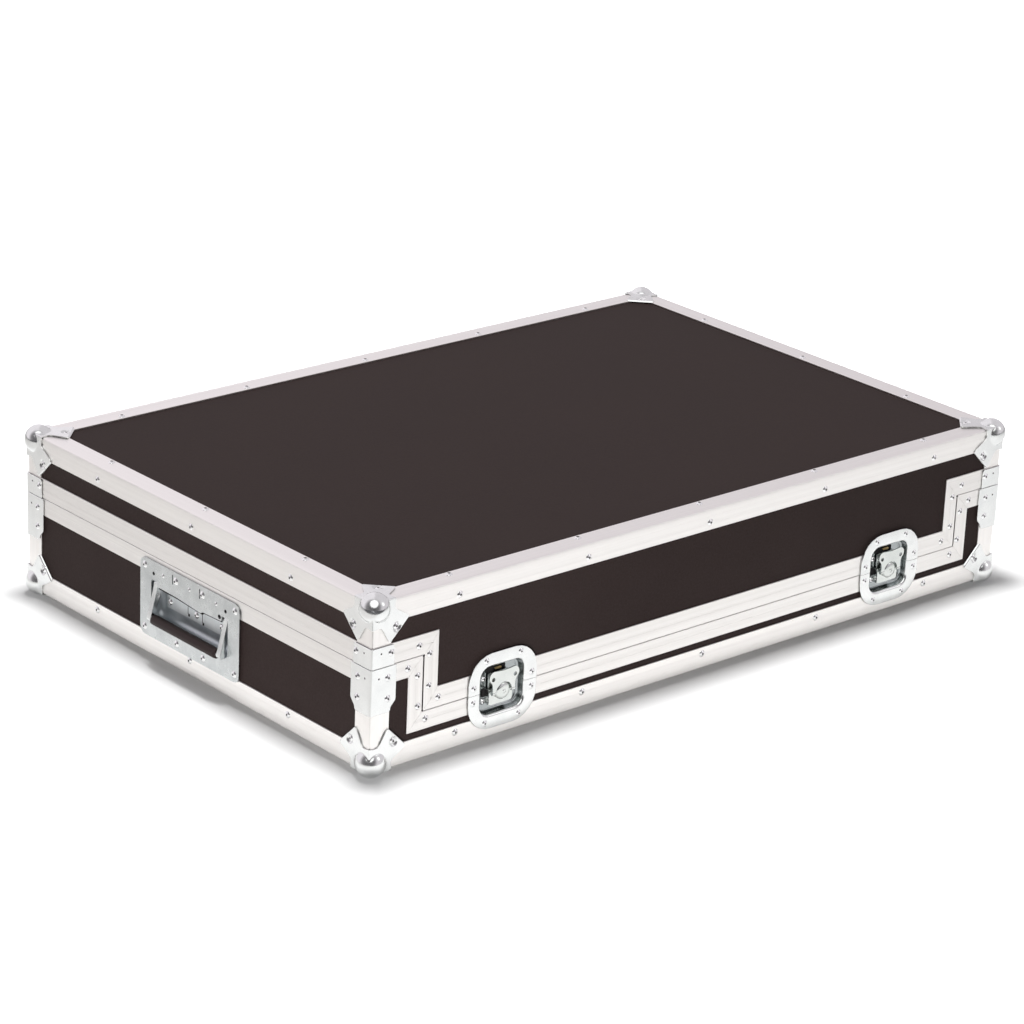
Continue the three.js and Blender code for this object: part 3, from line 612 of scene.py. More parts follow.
zinc = material("bright_zinc", zinc_paint)
third = ball_surface()[:, :-1]
whole_corner = np.concatenate([third, third[..., [2, 0, 1]], third[..., [1, 2, 0]]], axis=1)
count = whole_corner.shape[1]
corner_faces = (quads(len(whole_corner) - 1, count, around=True) + 1).tolist()
corner_faces += [[0, 1 + (i + 1) % count, 1 + i] for i in range(count)]
corner_names = ["front_left", "front_right", "back_right", "back_left"]
for body, level, sz in (("base", underside, 1), ("lid", crown, -1)):
    for signs, corner in zip(corner_signs, corner_names):
        place = corner_frame(*signs, level, sz)
        points = place(whole_corner)
        ball = np.concatenate([points[:1, 0], points[1:].reshape(-1, 3)]), corner_faces
        thickened(shell(
            f"{body}_ball_{corner}", [turned_out(ball, place(np.full(3, ball_sink)))], zinc, body,
            smooth_angle=domed_angle, replaced=[f"{body}_ball_corner_{corner}"],
        ), even=False)


# Corner braces: folded steel straps round the upright corner, one above the parting and one
# below it. The lower one narrows to a tail. Each leg is riveted and has a small locating dimple.
brace_bend, brace_gap, brace_corner, sheet_roll = 0.0024, 0.0003, 0.002, 0.0003
lid_brace_height, lid_brace_leg = 0.020, 0.0247
base_brace_height, base_brace_leg = 0.045, 0.0274
tail_starts, tail_run, tail_inset = 0.033, 0.009, 0.0059


def quarter_round(into):
    """How far a corner's arc has drawn in at a height into it: radius less the circle's chord."""
    return brace_corner - np.sqrt(brace_corner ** 2 - np.clip(into, 0, brace_corner) ** 2)


def lid_leg(heights):
    """Straight sides with rounded upper corners."""
    return lid_brace_leg - quarter_round(heights - (high_parting + lid_brace_height - brace_corner))


def base_leg(heights):
    """Straight sides that draw in along a smooth curve to a narrower tail with rounded corners."""
    down = high_parting - heights
    tail = tail_inset * smooth(np.clip((down - tail_starts) / tail_run, 0, 1))
    return base_brace_leg - tail - quarter_round(down - (base_brace_height - brace_corner))


def brace_surface(leg_at, top, bottom, rows=26, columns=8):
    """A strap's outer face in its own corner. Rows go down the height, with a leg's length for
    each, and columns follow a path in plan: in along one leg, round the arris and out again."""
    heights = np.linspace(top, bottom, rows)
    near = brace_bend - lap
    turn = np.radians(np.linspace(0, 90, 7))
    bend = near - brace_bend * np.stack([np.sin(turn), np.cos(turn)], axis=1)
    share = np.linspace(1, 0, columns + 1)[:-1, None]
    first = np.stack([near + (leg_at(heights) - near) * share, np.full((columns, rows), -lap)], axis=2)
    middle = np.repeat(bend[:, None], rows, axis=1)
    plan = np.concatenate([first, middle, first[::-1, :, ::-1]]).transpose(1, 0, 2)
    level = np.repeat(heights[:, None, None], plan.shape[1], axis=1)
    return np.concatenate([plan, level], axis=2)


def rolled(made, width, segments=2):
    """Rounds the edges of a sheet metal piece."""
    edge = made.modifiers.new("rolled_edge", "BEVEL")
    edge.width, edge.segments, edge.limit_method = width, segments, "ANGLE"
    return made


for body, leg_at, top, bottom in (
    ("base", base_leg, high_parting - brace_gap, high_parting - base_brace_height),
    ("lid", lid_leg, high_parting + lid_brace_height, high_parting + brace_gap),
):
    surface = brace_surface(leg_at, top, bottom)
    for signs, corner in zip(corner_signs, corner_names):
        place = corner_frame(*signs, 0, 1)
        inside = place(np.array([edge_leg / 2, edge_leg / 2, bottom]))
        strap = turned_out((place(surface), quads(*surface.shape[:2])), inside)
        rolled(thickened(shell(
            f"{body}_brace_{corner}", [strap], zinc, body, replaced=[f"{body}_corner_brace_{corner}"],
        ), even=True), sheet_roll)


# Rivets: domed steel heads with the hole that the drawn pin leaves. They hold every extrusion,
# corner, brace, latch and handle, and each rides with the half that it is driven into.
side_frames = {
    "front": ((0, -half_depth), (1, 0), (0, -1), half_width),
    "right": ((half_width, 0), (0, 1), (1, 0), half_depth),
    "back": ((0, half_depth), (-1, 0), (0, 1), half_width),
    "left": ((-half_width, 0), (0, -1), (-1, 0), half_depth),
}
rivet_radius, rivet_rise, rivet_sides, dimple_seat = 0.0036, 0.0015, 14, 0.0003
rivet_profile = np.array([
    (0.96, -0.35), (1.0, 0.0), (0.93, 0.17), (0.80, 0.42), (0.62, 0.70), (0.44, 0.88), (0.33, 0.96),
    (0.28, 0.85), (0.25, 0.1),
])
long_places, short_places = np.array([-310, -155, 0, 155, 310]) / 1000, np.array([-152, 0, 152]) / 1000
# On the flat rivets, a share below one widens the painted shade of the pin's hole.
lid_line, base_line, flat_line, flat_hole_shade = 0.014, 0.0155, 0.0165, 0.7
# Places beside a corner, in millimetres in from it and up from the underside
step_spots = {
    "lid": [(54.5, 112), (67, 101.5), (67, 70), (78.5, 56)],
    "base": [(53.5, 83), (54.5, 53), (64, 38.5), (42, 93)],
}
brace_spots = {"lid": [(21, 114.6)], "base": [(17.9, 91), (17.9, 70.7)]}
# Pits are tiny, nearly flat discs painted dark all over: painted shade for small dimples and holes.
pit_spots = {"lid": [(9.4, 115.9)], "base": [(7.4, 92.1)]}
pit_radius, step_pit_radius, pit_rise = 0.0010, 0.0014, 0.00008
# Painted shade: the pin's hole and the small pits take the dark tone.
rivet_dark, rivet_light, painted_hole_shade = (0.84, 0.845, 0.85, 1), (0.98, 0.98, 0.975, 1), (0.05, 0.045, 0.045, 1)
hole_starts, hole_full, rivet_rough = 0.33, 0.27, 0.16


def on_side(side, points, x=0.0, y=0.0):
    """Points drawn on one side of the case, x to the right, y up from the floor and z outwards,
    turned into the case's frame."""
    origin, right, out = (np.array(v, float) for v in side_frames[side][:3])
    points = np.asarray(points, float)
    plan = origin + (points[..., :1] + x) * right + points[..., 2:3] * out
    return np.concatenate([plan, points[..., 1:2] + y], axis=-1)


def rivet_paint(start):
    """Bright steel, whose UV holds the radius as a share of the head's. The pin's hole has painted
    shade: dark and not metallic.
    """
    share = start.node(
        "ShaderNodeSeparateXYZ", {0: start.node("ShaderNodeUVMap", uv_map="along_and_across")}, output="X",
    )
    bloom = noise(start, start.node("ShaderNodeTexCoord", output="Object"), 300.0, 3.0)
    # Painted shade: inside the hole's share of the radius the head turns dark and not metallic.
    hole = softly(start, share, hole_starts, hole_full)
    return {
        "Base Color": blended(start, hole, blended(start, bloom, rivet_dark, rivet_light), painted_hole_shade),
        "Metallic": 1.0 - hole,
        "Roughness": rivet_rough + (bloom - 0.5) * 0.1,
    }


def rivet_heads(places, normals, radius=rivet_radius, rise=rivet_rise, hole=1.0):
    """A dome at each place: rings whose radius and height follow one profile, the last of them
    down in the pin's hole. The UV is the profile times a share, below one for a wider painted shade
    in the hole and nought for a pit painted dark all over, as painted shade."""
    places, normals = np.asarray(places, float), np.asarray(normals, float)
    side = np.where(np.abs(normals[:, 2:3]) > 0.9, [[1.0, 0.0, 0.0]], [[0.0, 0.0, 1.0]])
    first = np.cross(side, normals)
    first /= np.linalg.norm(first, axis=1, keepdims=True)
    second = np.cross(normals, first)
    turn = np.linspace(0, 2 * np.pi, rivet_sides, endpoint=False)[:, None, None]
    ring = np.cos(turn) * first + np.sin(turn) * second
    out, up = rivet_profile[:, None, :1] * radius, rivet_profile[:, None, 1:] * rise
    faces = ends_closed(len(rivet_profile), rivet_sides)
    uv = np.repeat(rivet_profile[:, None], rivet_sides, axis=1).reshape(-1, 2) * hole
    return [
        ((place + out * ring[:, i] + up * normals[i]).reshape(-1, 3), faces, uv)
        for i, place in enumerate(places)
    ]


def side_rivets(side, spots, lift, *sizes, **hole):
    """Rivets on one side, from places in its own x and y and a height out from its face."""
    points = np.column_stack([spots, np.full(len(spots), lift)])
    normals = np.tile([*side_frames[side][2], 0.0], (len(points), 1))
    return rivet_heads(on_side(side, points), normals, *sizes, **hole)


def corner_rivets(side, spots, lift, *sizes, **hole):
    """Rivets at both ends of a side, from places beside a corner."""
    reach = side_frames[side][3]
    spots = [(sx * (reach - x / 1000), underside + z / 1000) for x, z in spots for sx in (-1, 1)]
    return side_rivets(side, spots, lift, *sizes, **hole)


rivet_steel = material("rivet_steel", rivet_paint)
petals = np.array([
    (dimple_place, dimple_place, dimple_seat), (dimple_place, dimple_seat, dimple_place),
    (dimple_seat, dimple_place, dimple_place),
])
for body, level, out, line in (("base", underside, -1, base_line), ("lid", crown, 1, lid_line)):
    heads = []
    for side in side_frames:
        along = long_places if side in ("front", "back") else short_places
        heads += side_rivets(side, [(x, level - out * line) for x in along], 0)
        heads += corner_rivets(side, brace_spots[body], lap)
        # Each brace leg's small dimple is a flat disc painted dark all over, as painted shade.
        heads += corner_rivets(side, pit_spots[body], lap, pit_radius, pit_rise, hole=0)
    flat = [(x, sy * (half_depth - flat_line), level) for x in long_places for sy in (-1, 1)]
    flat += [(sx * (half_width - flat_line), y, level) for y in short_places for sx in (-1, 1)]
    heads += rivet_heads(flat, np.tile([0.0, 0.0, out], (len(flat), 1)), hole=flat_hole_shade)
    for sx, sy in corner_signs:
        place = corner_frame(sx, sy, level, -out)
        heads += rivet_heads(place(petals), [(0, 0, out), (0, sy, 0), (sx, 0, 0)])
    heads += corner_rivets("front", step_spots[body], 0)
    if body == "base":
        # Where the parting turns down at each step, a small flat disc painted dark stands for a hole:
        # painted shade
        marks = [(sx * (half_width - step_inset), high_parting - riser_gap) for sx in (-1, 1)]
        heads += side_rivets("front", marks, 0, step_pit_radius, pit_rise, hole=0)
    shell(f"{body}_rivets", heads, rivet_steel, body, smooth_angle=domed_angle)


# Butterfly latches: two half dishes of pressed zinc-plated steel, one on each half, over the
# parting. A hook slides in the lower one, and a folding wing on a spindle works it by a crank.
# Over the hook a near-black sheet of painted shade darkens the slit behind the brass-coloured
# catch, and beside the channel another paints shade on the recess floor.
latch_sites = {
    "front_left": ("front", -latch_place, low_parting), "front_right": ("front", latch_place, low_parting),
    "back_left": ("back", latch_place, high_parting), "back_right": ("back", -latch_place, high_parting),
}
spindle_drop, pin_height, half_gap = 0.003, 0.0016, 0.0002
# Rows of a dish from its rim inwards: half width, half height, corner radius and height
flange_rows = np.array([
    (41, 37.5, 27, 1.2), (40.9, 37.4, 26.9, 1.4), (40.6, 37.1, 26.6, 1.5), (28.9, 26.5, 13.2, 1.5),
    (28.3, 25.9, 12.6, 1.4), (27.5, 25.1, 11.9, 1.05), (26.8, 24.4, 11.3, 0.45), (26.3, 23.9, 10.8, -0.35),
    (26, 23.6, 10.4, -1.3), (25.4, 22.9, 9.8, -5.0), (25.1, 22.6, 9.5, -6.3),
    (24.3, 21.7, 8.8, -7.1), (23, 20.4, 7.8, -7.3),
]) / 1000
latch_rivet_spots = np.array([(20.5, 31), (35, 7.2), (-35, 7.2), (-20.5, 31)]) / 1000
latch_rivet, lug = (0.0032, 0.0012), (0.0034, 0.0030)
lug_spots, lug_floor = {"upper": (-0.0174, 0.0098), "lower": (-0.0172, -0.0128)}, -0.0073
# Turned pieces: radii and heights along the axis
spindle_profile = np.array([
    (3.0, -3.9), (3.0, -1.2), (8.3, -1.2), (8.5, -0.9), (8.5, 0.9), (8.3, 1.5), (7.6, 2.2), (6.2, 2.9),
    (4.4, 3.35), (2.3, 3.55), (2.1, 3.3), (1.8, 3.3), (1.5, 3.6), (0.7, 3.75),
]) / 1000
crank_profile = np.array([(6.2, -4.3), (6.4, -4.1), (6.4, -3.1), (6.2, -2.95)]) / 1000
pin_profile = np.array([(1, -13.2), (1, 13.2)]) / 1000
barrel_profile = np.array([(2.0, 9.5), (2.2, 9.7), (2.2, 13.3), (2.0, 13.5)]) / 1000
wing_hole, wing_back, wing_front, wing_roll = (0.013, 0.0142, 0.002), 0.0018, 0.0033, 0.0004
lobe_place, lobe_radius, lobe_inside = (0.0118, 0.0160), 0.0060, (0.0060, 0.0212)
notch_radius, wing_crown = 0.0095, (0.0, 0.0208)
wing_waist = [(0.0135, 0.0), (0.0133, 0.0045), (0.0137, 0.0080), (0.0148, 0.0106)]
dished_angle, turned_angle = 50, 40
# Painted shade: the pressing's recess turns darker with depth, towards this tone.
painted_recess_shade, recess_shade_share, recess_shade_starts, recess_shade_full = (0.17, 0.20, 0.21, 1), 0.7, -0.0014, -0.0052
satin_dark, satin_light = (0.60, 0.63, 0.61, 1), (0.76, 0.78, 0.755, 1)
yellow_dark, yellow_light = (0.62, 0.42, 0.16, 1), (0.85, 0.66, 0.34, 1)
# Near-black tones for sheets of painted shade, set in slits and gaps that fall into shade.
black_dark, black_light = (0.008, 0.008, 0.008, 1), (0.020, 0.019, 0.019, 1)


def dish_surface(rows, low):
    """Upper half of a pressed dish. Each row is a rounded rectangle's half width, half height,
    corner radius and height, and its points run from its right foot over the top to the left."""
    rings = []
    for across, up, radius, out in rows:
        right = arc((across - radius, up - radius), radius, 0, 90)
        left = arc((radius - across, up - radius), radius, 90, 180)
        ring = np.concatenate([[[across, low]], right, left, [[-across, low]]])
        rings.append(np.column_stack([ring, np.full(len(ring), out)]))
    return np.stack(rings)


def dish_faces(surface, around=False):
    """The quads of a dish's walls, and one face over its last row for its floor."""
    rows, columns = surface.shape[:2]
    return quads(rows, columns, around).tolist() + [list(range(columns * (rows - 1), columns * rows))]


def rounded(radius, points):
    """A closed outline whose corners become arcs of this radius. Each arc runs between its
    tangent points, as a quadratic curve round the corner."""
    points = np.asarray(points, float)
    before, after = np.roll(points, 1, axis=0) - points, np.roll(points, -1, axis=0) - points
    before /= np.linalg.norm(before, axis=1, keepdims=True)
    after /= np.linalg.norm(after, axis=1, keepdims=True)
    half = np.arccos(np.clip((before * after).sum(axis=1), -1, 1)) / 2
    reach = (np.asarray(radius, float) / np.tan(half))[:, None]
    share = np.linspace(0, 1, 5)[None, :, None]
    start, end = (points + before * reach)[:, None], (points + after * reach)[:, None]
    curve = start * (1 - share) ** 2 + points[:, None] * 2 * share * (1 - share) + end * share ** 2
    return curve.reshape(-1, 2)


def plate(rings, low, high):
    """A flat sheet between two heights. Its outline runs anticlockwise and its holes clockwise.
    The caps are triangles, turned to face outwards, and each ring has a wall of quads."""
    flat = np.concatenate([np.asarray(ring, float) for ring in rings])
    caps = np.array(tessellate_polygon([[(x, y, 0) for x, y in ring] for ring in rings]))
    a, b, c = (flat[caps[:, k]] for k in range(3))
    turn = (b[:, 0] - a[:, 0]) * (c[:, 1] - a[:, 1]) - (b[:, 1] - a[:, 1]) * (c[:, 0] - a[:, 0])
    caps[turn < 0] = caps[turn < 0][:, ::-1]
    count, first, walls = len(flat), 0, []
    for ring in rings:
        here = first + np.arange(len(ring))
        there = first + (np.arange(len(ring)) + 1) % len(ring)
        walls.append(np.stack([here, there, there + count, here + count], axis=1))
        first += len(ring)
    points = np.concatenate([
        np.column_stack([flat, np.full(count, low)]), np.column_stack([flat, np.full(count, high)]),
    ])
    faces = (caps + count).tolist() + caps[:, ::-1].tolist() + np.concatenate(walls).tolist()
    return points, faces


def block(left, right, foot, top, back, front, radius):
    """A flat rectangular piece with rounded corners, from its edges in millimetres."""
    left, right, foot, top = np.array([left, right, foot, top]) / 1000
    outline = rounded(np.array(radius) / 1000, [(left, foot), (right, foot), (right, top), (left, top)])
    return plate([outline], back / 1000, front / 1000)


def circle(x, y, radius, steps=20):
    """A ring of points round a place, clockwise as it bounds a hole."""
    return arc((x, y), radius, 0, 360, steps + 1)[:-1][::-1]


def lathe(profile, steps=32):
    """A turned solid: radii and heights along the third axis, closed by a face at each end."""
    turn = np.linspace(0, 2 * np.pi, steps, endpoint=False)
    ring = np.stack([np.cos(turn), np.sin(turn)], axis=1)
    points = np.concatenate([
        profile[:, None, :1] * ring, np.repeat(profile[:, None, 1:], steps, axis=1),
    ], axis=2)
    return points.reshape(-1, 3), ends_closed(len(profile), steps)


def laid(part, y=0.0, z=0.0, sign=1):
    """A solid drawn along the third axis, laid along the first at a height and a depth."""
    return part[0][:, [2, 1, 0]] * [sign, 1, 1] + [0, y, z], part[1]


def sited(part, site, drop=0.0):
    """A part drawn in the latch's own x, y and z, turned on to the side of the case."""
    side, x, level = site
    return turned_out((on_side(side, part[0], x, level - drop), part[1]))


def wing_outline():
    """The butterfly: two round lobes above a waist, with a round notch for the spindle's head."""
    right = np.concatenate([wing_waist, arc(lobe_place, lobe_radius, -30, 84, 8), [lobe_inside]])
    notch = arc((0, 0), notch_radius, 180, 0, 15)
    return np.concatenate([right, [wing_crown], (right * [-1, 1])[::-1], notch])


def pressing_paint(start):
    """Bright zinc, painted darker down the walls of the recess as painted shade. The UV's
    second value is the height over the case's side, in metres."""
    paint = zinc_paint(start)
    height = start.node(
        "ShaderNodeSeparateXYZ", {0: start.node("ShaderNodeUVMap", uv_map="along_and_across")}, output="Y",
    )
    # Painted shade, growing with depth into the recess.
    recess_shade_mask = softly(start, height, recess_shade_starts, recess_shade_full)
    paint["Base Color"] = blended(start, recess_shade_mask * recess_shade_share, paint["Base Color"], painted_recess_shade)
    return paint


def satin_zinc_paint(start):
    """The zinc of the working pieces, which is a shade greener and darker."""
    return zinc_paint(start, satin_dark, satin_light)


def yellow_zinc_paint(start):
    """Yellow-passivated zinc on the catch that the hook draws down."""
    bloom = noise(start, start.node("ShaderNodeTexCoord", output="Object"), 250.0, 3.0)
    return {
        "Base Color": blended(start, bloom, yellow_dark, yellow_light),
        "Metallic": 1.0,
        "Roughness": 0.5,
    }


def painted_shade_black_paint(start):
    """Near-black with a slight mottle: painted shade, in sheets set in the slits and gaps
    behind the pressings.
    """
    mottle = noise(start, start.node("ShaderNodeTexCoord", output="Object"), 400.0, 2.0)
    return {
        "Base Color": blended(start, mottle, black_dark, black_light),
        "Roughness": 0.75,
        "Specular IOR Level": 0.2,
    }


pressed_zinc = material("pressed_zinc", pressing_paint)
satin_zinc = material("satin_zinc", satin_zinc_paint)
yellow_zinc = material("yellow_zinc", yellow_zinc_paint)
black_rubber = material("black_rubber", painted_shade_black_paint)
# Flat pieces in each latch, by material, body, width of the rolled edge, the node they replace,
# and their blocks: left, right, foot, top, back, front and corner radius, in millimetres
latch_blocks = {
    "channel": (satin_zinc, "base", sheet_roll, None, [
        (-14, 14, -16, -0.4, -2.8, -1.3, 3), (-14, -12.6, -15.5, -0.8, -7.3, -2.0, 0.4),
        (12.6, 14, -15.5, -0.8, -7.3, -2.0, 0.4),
    ]),
    "keeper": (zinc, "lid", 0, None, [(-9, 9, 6, 11, -7.3, -6.4, 1)]),
    # The slit and the piece left of the channel are near-black sheets of painted shade.
    "slit": (black_rubber, "lid", 0, None, [(-14, 9, 14.6, 19.6, -7.4, -6.6, 1)]),
    "guard": (black_rubber, "base", 0, None, [(-18.5, -14.1, -8.5, -0.4, -7.4, -6.6, 1)]),
    "catch": (yellow_zinc, "lid", wing_roll, None, [(-6.2, 1.4, 18, 19.6, -4.4, -3.0, 0.5)]),
    "hook_plate": (satin_zinc, "{}_hook", sheet_roll, "latch_{}_hook", [
        (-12.2, 12.2, -13.2, 14.5, -6.1, -4.6, 1.5),
    ]),
}
for name, site in latch_sites.items():
    side, x, level = site
    for body, rise, half in (("lid", 1, "upper"), ("base", -1, "lower")):
        surface = dish_surface(flange_rows, half_gap) * [1, rise, 1]
        faces = [face[::rise] for face in dish_faces(surface)]
        heights = np.column_stack([np.zeros(surface[..., 2].size), surface[..., 2].ravel()])
        thickened(shell(
            f"latch_{name}_{half}_pressing", [(on_side(side, surface, x, level), faces, heights)],
            pressed_zinc, body, smooth_angle=dished_angle, replaced=[f"latch_{name}_{half}_dish"],
        ), even=False)
        spots = latch_rivet_spots * [1, rise] + [x, level]
        heads = side_rivets(side, spots, lap, *latch_rivet)
        heads += side_rivets(side, [np.array(lug_spots[half]) + [x, level]], lug_floor, *lug)
        shell(f"latch_{name}_{half}_rivets", heads, rivet_steel, body, smooth_angle=domed_angle)
    for kind, (finish, body, rolling, node, blocks) in latch_blocks.items():
        made = shell(
            f"latch_{name}_{kind}", [sited(block(*sizes), site) for sizes in blocks], finish,
            body.format(name), replaced=[node.format(name)] if node else (),
        )
        if rolling:
            rolled(made, rolling)
    turned = [lathe(spindle_profile), lathe(crank_profile, 24), laid(lathe(pin_profile, 12), z=pin_height)]
    shell(
        f"latch_{name}_spindle_turned", [sited(part, site, spindle_drop) for part in turned], satin_zinc,
        f"{name}_spindle", smooth_angle=turned_angle, replaced=[f"latch_{name}_spindle"],
    )
    holes = [circle(*wing_hole), circle(-wing_hole[0], *wing_hole[1:])]
    wing = [plate([wing_outline(), *holes], wing_back, wing_front)]
    wing += [laid(lathe(barrel_profile, 20), z=pin_height, sign=sx) for sx in (-1, 1)]
    rolled(shell(
        f"latch_{name}_wing_pressing", [sited(part, site, spindle_drop) for part in wing], satin_zinc,
        f"{name}_wing", smooth_angle=turned_angle, replaced=[f"latch_{name}_wing"],
    ), wing_roll)


# Handles: a pressed steel dish in each end wall, riveted on, with a sprung bail that stands a
# little out of it. The bail's two arms turn on an axle and carry a moulded sleeve.
handle_foot, hang = high_parting - 0.083, np.radians(14.5)
axle_height, axle_depth, arm_length = 0.056, -0.003, 0.0345
flange_back, tray_middle = 0.0003, 0.0405
flange_half, flange_height, flange_corner = 0.0785, 0.079, 0.009
# The flange's opening from its lower left corner, with a notch for each arm and a wavy lip
opening = [
    (-61.2, 18), (-60.6, 59.7), (-50.8, 59.7), (-50.8, 54.8), (-20, 54.3), (18, 51.5), (21.5, 53.5),
    (50.8, 54.5), (50.8, 59.7), (60.6, 59.7), (61.2, 18),
]
opening_corners = [9, 3, 1.2, 1.2, 4, 1, 1, 1.2, 1.2, 3, 9]
# A near-black disc of painted shade, of this radius, sits behind each pin hole.
pin_hole, pin_hole_shade_radius, stop_hole = (0.057, 0.0665, 0.0019), 0.0026, (0.0477, 0.0580, 0.0023)
lip_slit_lefts, lip_slit_width, lip_slit_corner = (-0.0271, 0.0159), 0.0012, 0.0005
lip_slit_foot, lip_slit_top = 0.0655, 0.0755
tray_rows = np.array([
    (63, 22.5, 9, 0.9), (63, 22.5, 9, -6.0), (62.7, 22.2, 9, -8.2), (61.8, 21.3, 8.4, -10.4),
    (60.2, 19.7, 7.4, -12.3), (58.2, 17.7, 6.2, -13.4), (55.6, 15.1, 4.8, -13.8),
]) / 1000
spring_box = (-48, 48, 33.5, 62.5, -13.8, -8, (2, 2, 1, 1))
# A near-black sheet of painted shade behind the lip, so the gap under it and the holes in it read dark.
lip_shade_sheet = np.array([
    (-50.2, 52.5), (-19, 52), (19, 49.9), (22.8, 51.9), (50.2, 52.9), (50.2, 77.5), (-50.2, 77.5),
]) / 1000
lip_shade_back, lip_shade_front = -0.0004, 0.0002
# Near-black strips of painted shade on the spring box stand for its slots.
box_slits = [
    (-14.7, -13.9, 37.5, 50.5), (-14, -11.4, 35.2, 38), (8.1, 8.9, 36, 50.5), (8.8, 11.4, 33.8, 36.6),
]
slit_heights = (-8.1, -7.92, 0.2)
handle_rivets = np.array([
    (20.6, 70.6, 3.9), (-21.6, 70.2, 3.9), (-42, 69, 2.2), (0, 69, 2.2), (42, 69, 2.2),
    (71.3, 71.5, 3.7), (-71.3, 71.5, 3.7), (71.3, 8, 3.7), (-71.3, 8, 3.7), (22.3, 7, 3.6), (-19.5, 7, 3.6),
]) / 1000
box_rivets, box_face = np.array([(-43, 40, 3.9), (-1, 40.5, 3.9), (39, 41.5, 3.9)]) / 1000, -0.008
axle_profile = np.array([(2.3, -61.8), (2.5, -61.6), (2.5, 61.6), (2.3, 61.8)]) / 1000
arm_eye, arm_waist, waist_top, waist_foot = 0.0031, 0.0026, -0.007, -0.028
arm_inside, arm_outside = 0.0524, 0.0583
flange_roll, box_roll, bail_roll = 0.0005, 0.0016, 0.0012
grip_dark, grip_light = (0.013, 0.0085, 0.0082, 1), (0.024, 0.0155, 0.015, 1)
grip_rough, grip_shine = 0.52, 0.22
rod_profile = np.array([(3, -54), (3, 54)]) / 1000
sleeve_half = [(5.04, 49.2), (4.95, 49.8), (4.6, 50.3), (4.0, 50.5), (3.2, 50.5)]
sleeve_profile = np.array([(radius, -along) for radius, along in sleeve_half[::-1]] + sleeve_half) / 1000


def grip_paint(start):
    """Dark brown moulded plastic: a fine mottle, with a slight satin shine."""
    mottle = noise(start, start.node("ShaderNodeTexCoord", output="Object"), 700.0, 3.0)
    return {
        "Base Color": blended(start, mottle, grip_dark, grip_light),
        "Roughness": grip_rough + (mottle - 0.5) * 0.2,
        "Specular IOR Level": grip_shine,
        "Normal": bump(start, mottle, 0.0001, 0.3),
    }


def zinc_finish(name, dark, light, rough):
    """Zinc plate in tones and a roughness of its own."""
    return material(name, lambda start: zinc_paint(start, (*dark, 1), (*light, 1), rough))


def flange_rings():
    """The flange's outline, its opening with two notches for the arms, and its small holes."""
    outline = rounded(flange_corner, [
        (-flange_half, 0), (flange_half, 0), (flange_half, flange_height), (-flange_half, flange_height),
    ])
    x, y, radius = pin_hole
    rings = [outline, rounded(np.array(opening_corners) / 1000, np.array(opening) / 1000)]
    rings += [circle(sx * x, y, radius, 12) for sx in (-1, 1)] + [circle(*stop_hole, 16)]
    for left in lip_slit_lefts:
        right = left + lip_slit_width
        rings.append(rounded(lip_slit_corner, [
            (left, lip_slit_foot), (left, lip_slit_top), (right, lip_slit_top), (right, lip_slit_foot),
        ]))
    return rings


def seated(part, side):
    """A part drawn in the handle's own x, y and z, turned on to an end wall of the case."""
    return turned_out((on_side(side, part[0], 0, handle_foot), part[1]))


def hung(part):
    """A part drawn below its axle, turned out about it by the angle at which the bail rests."""
    x, y, z = part[0].T
    cos, sin = np.cos(hang), np.sin(hang)
    return np.stack([x, axle_height + y * cos + z * sin, axle_depth - y * sin + z * cos], axis=1), part[1]


def strap_outline():
    """An arm of the bail in profile: round eyes at both ends, with a slightly narrower waist."""
    top = arc((0, 0), arm_eye, -20, 200, 12)
    foot = arc((0, -arm_length), arm_eye, 180, 360, 10)
    left, right = ([(sx * arm_waist, y) for y in (waist_top, waist_foot)] for sx in (-1, 1))
    return np.concatenate([top, left, foot, right[::-1]])


grip_plastic = material("brown_grip", grip_paint)
dull_zinc = zinc_finish("dull_zinc", (0.46, 0.48, 0.485), (0.68, 0.70, 0.70), 0.26)
